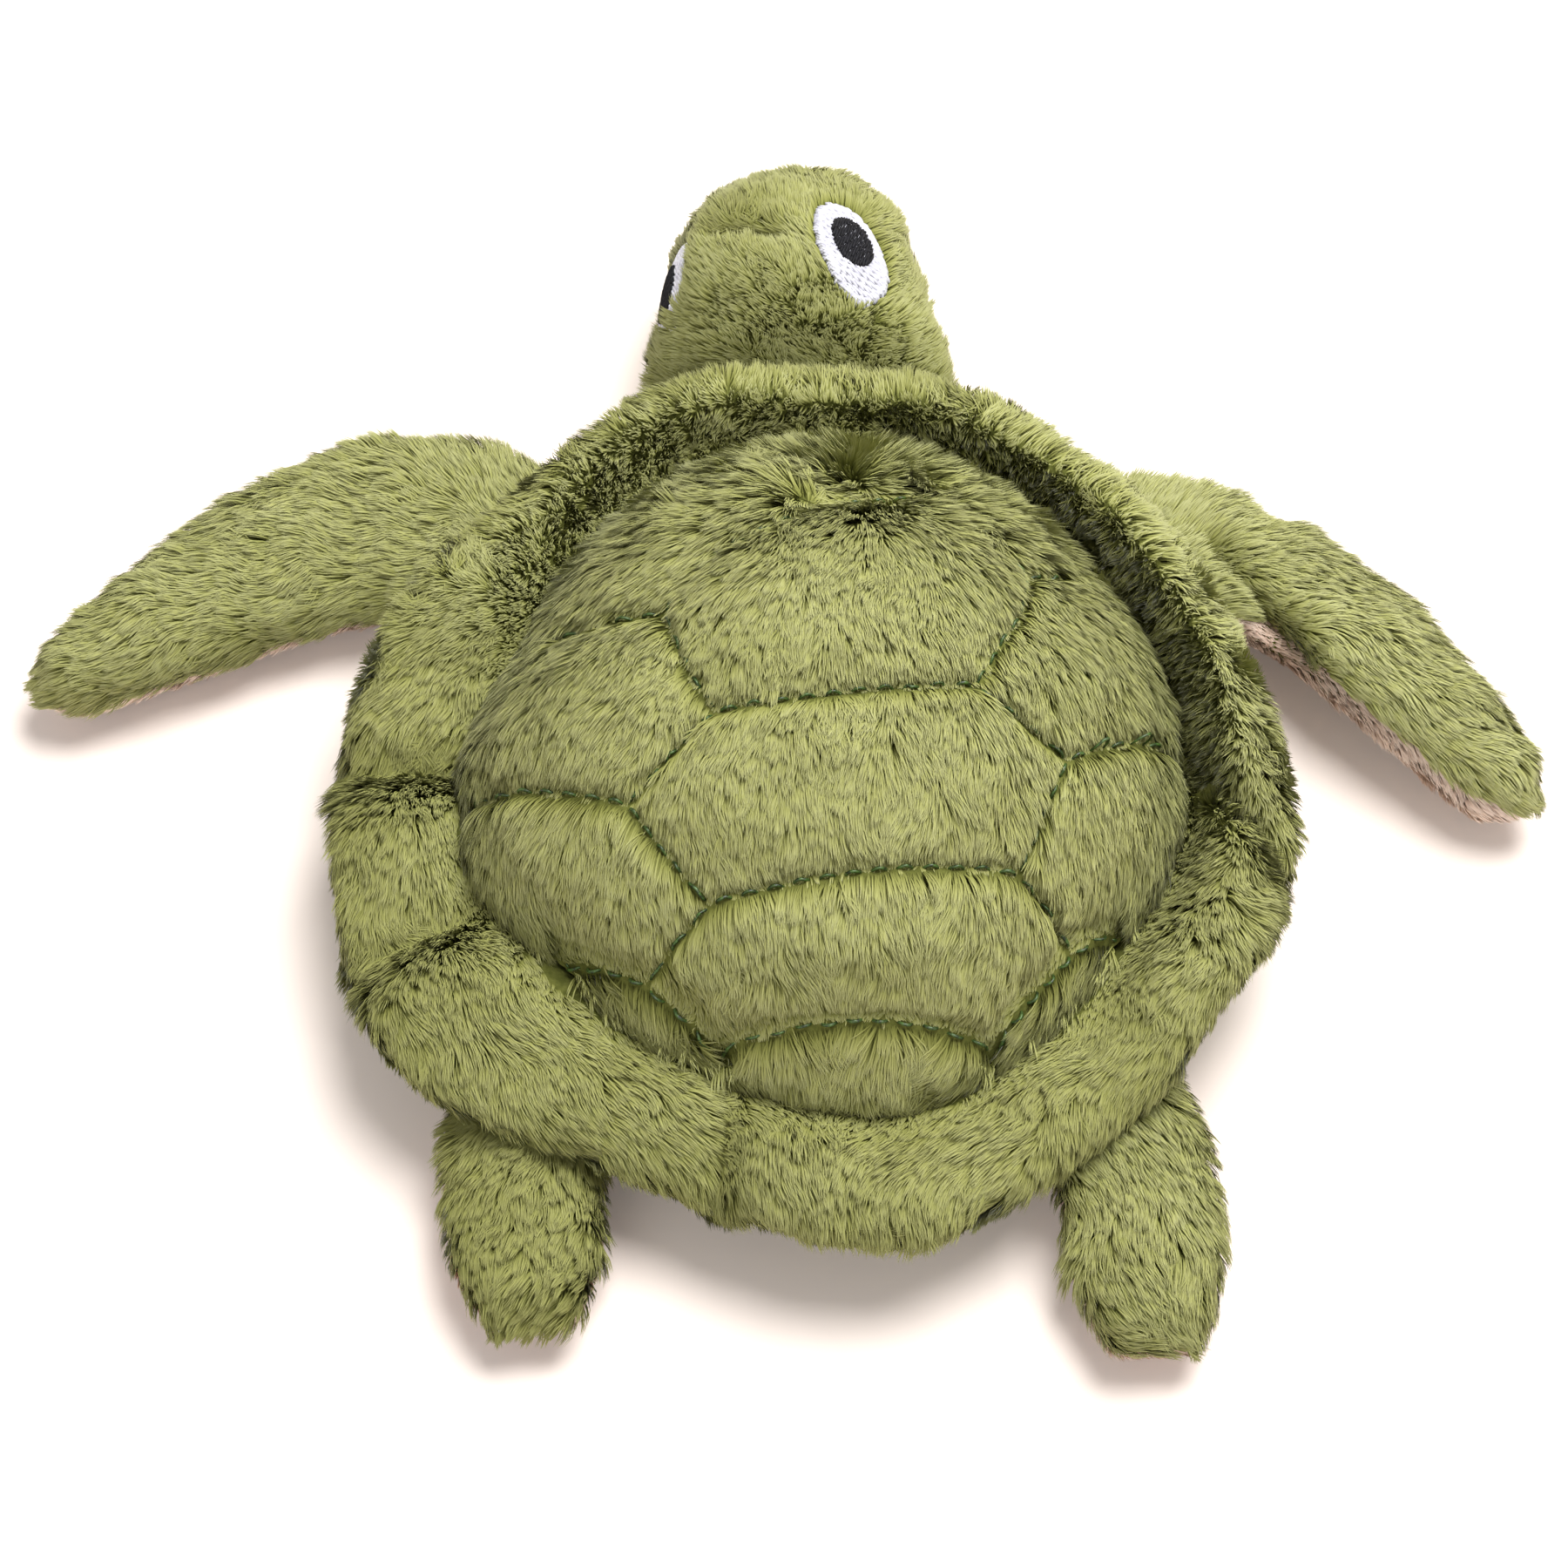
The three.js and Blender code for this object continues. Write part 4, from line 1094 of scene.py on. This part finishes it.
def satin_border(eye, base, draw):
    """Short stitches over the oval's edge."""
    around = math.pi * (3 * (eye.half_long + eye.half_short) - math.sqrt(
        (3 * eye.half_long + eye.half_short) * (eye.half_long + 3 * eye.half_short)))
    count = int(around / (SATIN_PITCH * 0.95))
    narrow = min(1, eye.half_short / FULL_BORDER_HALF_WIDTH)
    for k in range(count):
        turn = FULL_TURN * k / count
        edge = np.array([eye.half_long * math.cos(turn), eye.half_short * math.sin(turn)])
        inward = -edge / np.linalg.norm(edge)
        border = SATIN_BORDER * narrow * draw.uniform(0.8, 1.15)
        start = edge * (1 + 0.02 * draw.normal())
        yield start, start + inward * border, base * 0.4, base + BORDER_LIFT, SATIN_RADIUS * 1.05


def embroider(name, node, eye, tree, base, slant, look, seed):
    """Satin fill, a border over its edge, and a pad below."""
    draw = np.random.default_rng(seed)
    parts = [satin_pad(eye, tree, base)]
    for stitch in (*satin_fill(eye, base, slant, draw), *satin_border(eye, base, draw)):
        parts += satin_stitch(eye, tree, *stitch)
    piece = joined(name, parts)
    trim(piece, look, "head", [node])


EYE_BASE = 0.45 * MM
PUPIL_BASE = 0.75 * MM
SATIN_SLANT = 35 * DEGREES


def make_eyes(head):
    tree = tree_of(head)
    middle = points_of(head).mean(axis=0)
    eyes = []
    for number, side in enumerate(("left", "right")):
        white = Eye(f"{side}_eye_white", middle)
        pupil = Eye(f"{side}_pupil", middle)
        embroider(
            f"{side}_eye_satin", f"{side}_eye_white", white, tree,
            EYE_BASE, SATIN_SLANT, WHITE_SATIN, 51 + number,
        )
        embroider(
            f"{side}_pupil_satin", f"{side}_pupil", pupil, tree,
            PUPIL_BASE, -SATIN_SLANT, BLACK_SATIN, 53 + number,
        )
        eyes.append(white)
    return eyes


# Flippers, with the angle in degrees at which each one's pile settles, and a pile tone each: the right
# front flipper's is raised as painted light, the left rear flipper's lowered as painted shade
FLIPPERS = {
    "left_front_flipper": {"joint": "left_front_flap", "pull": 0.32, "settle": 14, "tone": 0.5},
    "right_front_flipper": {"joint": "right_front_flap", "pull": 0.28, "settle": 12, "tone": 0.75},
    "left_rear_flipper": {"joint": "left_rear_flap", "pull": 0.42, "settle": 15, "tone": 0.03},
    "right_rear_flipper": {"joint": "right_rear_flap", "pull": 0.3, "settle": 13, "tone": 0.4},
}
FLIPPER_PILE_LENGTH = 5.2 * MM
UNDER_PILE_LENGTH = 2.8 * MM
FLIPPER_RISE = 42 * DEGREES
UNDER_SETTLE = 20 * DEGREES
ROOT_LIFT = 14 * DEGREES

# A crease that hangs across the right front flipper, with its pile darkened along it as painted shade, and
# the swell of its front root
HANG_START = np.array([-53.5, -38]) * MM
HANG_END = np.array([-65, -20]) * MM
HANG_DEPTH = 4.6 * MM
HANG_HALF_WIDTH = 2 * MM
SHOULDER_START = np.array([-44, -47]) * MM
SHOULDER_END = np.array([-56, -45]) * MM
SHOULDER_RISE = 2.6 * MM
SHOULDER_HALF_WIDTH = 4 * MM


def make_flipper(name, style, seed):
    nodes = [f"{name}_top_panel", f"{name}_under_panel", f"{name}_wadding"]
    piece = fused(f"{name}_skin", nodes, LIMB_VOXEL)
    if name == "right_front_flipper":
        crease(piece, HANG_START, HANG_END, HANG_DEPTH, HANG_HALF_WIDTH)
        crease(piece, SHOULDER_START, SHOULDER_END, -SHOULDER_RISE, SHOULDER_HALF_WIDTH)
    dress(piece, GREEN_BACKING, name, nodes)
    points = points_of(piece)
    root = np.array(joint_place(style["joint"]))
    tip = points[np.argmax(np.linalg.norm(points - root, axis=1))]
    roots, normals = scatter(piece, PILE_DENSITY, seed)
    whole = np.linalg.norm(tip - root)
    share = np.clip((roots - root) @ (tip - root) / whole ** 2, 0, 1)
    comb = unit(roots - root) * (1 - share)[:, None] + unit(tip - roots) * share[:, None]
    green = nearest_panel(roots, nodes[0], nodes[1])
    end = smoothstep(0.8, 1, share)
    comb += normals * (0.5 * end)[:, None]
    start = smoothstep(0.2, 0.0, share)
    hanging = np.zeros(len(roots))
    if name == "right_front_flipper":
        hanging = bell(plan_gap(roots, HANG_START, HANG_END), HANG_HALF_WIDTH)
    for title, chosen, look, slot, length, settle in (
        (f"{name}_pile", green, GREEN_PILE, "shell_plush", FLIPPER_PILE_LENGTH, style["settle"] * DEGREES),
        (f"{name}_under_pile", ~green, BEIGE_PILE, "belly_plush", UNDER_PILE_LENGTH, UNDER_SETTLE),
    ):
        coat(
            title, roots[chosen], normals[chosen], comb[chosen], seed + 10, name, slot, look,
            length=length * (1 - 0.2 * end[chosen] - 0.5 * hanging[chosen]), width=PILE_WIDTH,
            rise=FLIPPER_RISE + ROOT_LIFT * start[chosen], settle=settle + ROOT_LIFT * start[chosen],
            pull=style["pull"], drift=0.24, tone=style["tone"] - 0.8 * hanging[chosen],
        )


def joint_place(name):
    return next(joint for joint in frame["joints"] if joint["name"] == name)["pos_m"]


# Camera, lights and floor: places and sizes in metres, power in watts

FLOOR_HALF = 3.0
FLOOR_COLOUR = (0.93, 0.83, 0.77, 1)
FLOOR_GLOW = 0.06
ROOM_COLOUR = (1.0, 0.97, 0.95, 1)
ROOM_STRENGTH = 0.45
LAMPS = [
    ("key", (-0.32, -0.3, 1.2), 0.9, 24.5, (1.0, 1.0, 0.99)),
    ("fill", (0.5, 0.9, 0.9), 0.9, 3, (1.0, 0.98, 0.96)),
]


def camera():
    shot = bpy.data.cameras.new("camera")
    shot.sensor_width = SENSOR_WIDTH
    shot.lens = SENSOR_WIDTH * VIEW_DISTANCE / FRAMED_WIDTH
    shot.clip_start = CAMERA_NEAR
    holder = bpy.data.objects.new("camera", shot)
    back = Vector((0, math.cos(VIEW_ELEVATION), math.sin(VIEW_ELEVATION)))
    holder.location = VIEW_TARGET + back * VIEW_DISTANCE
    holder.rotation_euler = (-back).to_track_quat("-Z", "Y").to_euler()
    bpy.context.scene.collection.objects.link(holder)
    bpy.context.scene.camera = holder


def lamp(name, place, size, power, colour):
    light = bpy.data.lights.new(name, "AREA")
    light.shape = "DISK"
    light.size = size
    light.energy = power
    light.color = colour
    holder = bpy.data.objects.new(name, light)
    holder.location = place
    holder.rotation_euler = (-Vector(place)).to_track_quat("-Z", "Y").to_euler()
    bpy.context.scene.collection.objects.link(holder)


def studio():
    """White floor, soft light from the head's side, and a bright room."""
    corners = [(x * FLOOR_HALF, y * FLOOR_HALF, 0) for x, y in ((-1, -1), (1, -1), (1, 1), (-1, 1))]
    floor = link("floor", mesh_from("floor", corners, [(0, 1, 2, 3)]))
    look, tree, shader = material("floor_white", 0.9, specular=0)
    shader.inputs["Base Color"].default_value = FLOOR_COLOUR
    path = tree.nodes.new("ShaderNodeLightPath")
    shader.inputs["Emission Color"].default_value = (1, 1, 1, 1)
    lift = tree.nodes.new("ShaderNodeMath")
    lift.operation = "MULTIPLY"
    lift.inputs[1].default_value = FLOOR_GLOW
    tree.links.new(path.outputs["Is Camera Ray"], lift.inputs[0])
    tree.links.new(lift.outputs[0], shader.inputs["Emission Strength"])
    floor.data.materials.append(look)
    floor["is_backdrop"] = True
    world = bpy.data.worlds.new("room")
    world.use_nodes = True
    bpy.context.scene.world = world
    nodes, links = world.node_tree.nodes, world.node_tree.links
    ground = nodes["Background"]
    ground.inputs["Color"].default_value = ROOM_COLOUR
    ground.inputs["Strength"].default_value = ROOM_STRENGTH
    white = nodes.new("ShaderNodeBackground")
    white.inputs["Strength"].default_value = 1
    pick = nodes.new("ShaderNodeMixShader")
    seen = nodes.new("ShaderNodeLightPath")
    links.new(seen.outputs["Is Camera Ray"], pick.inputs["Fac"])
    links.new(ground.outputs["Background"], pick.inputs[1])
    links.new(white.outputs["Background"], pick.inputs[2])
    links.new(pick.outputs["Shader"], nodes["World Output"].inputs["Surface"])
    for values in LAMPS:
        lamp(*values)


camera()
studio()
dome = make_dome()
dome_pile(dome)
scute_stitches(dome)
make_lining()
rim = make_rim()
rim_pile(rim)
make_body()
head = make_head()
head_pile(head, make_eyes(head))
for number, (flipper, style) in enumerate(FLIPPERS.items()):
    make_flipper(flipper, style, 15 + number)

bpy.context.scene.view_settings.view_transform = "Standard"
for box in (CAD_BOX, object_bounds()):
    [[round(float(value), 5) for value in corner] for corner in box]
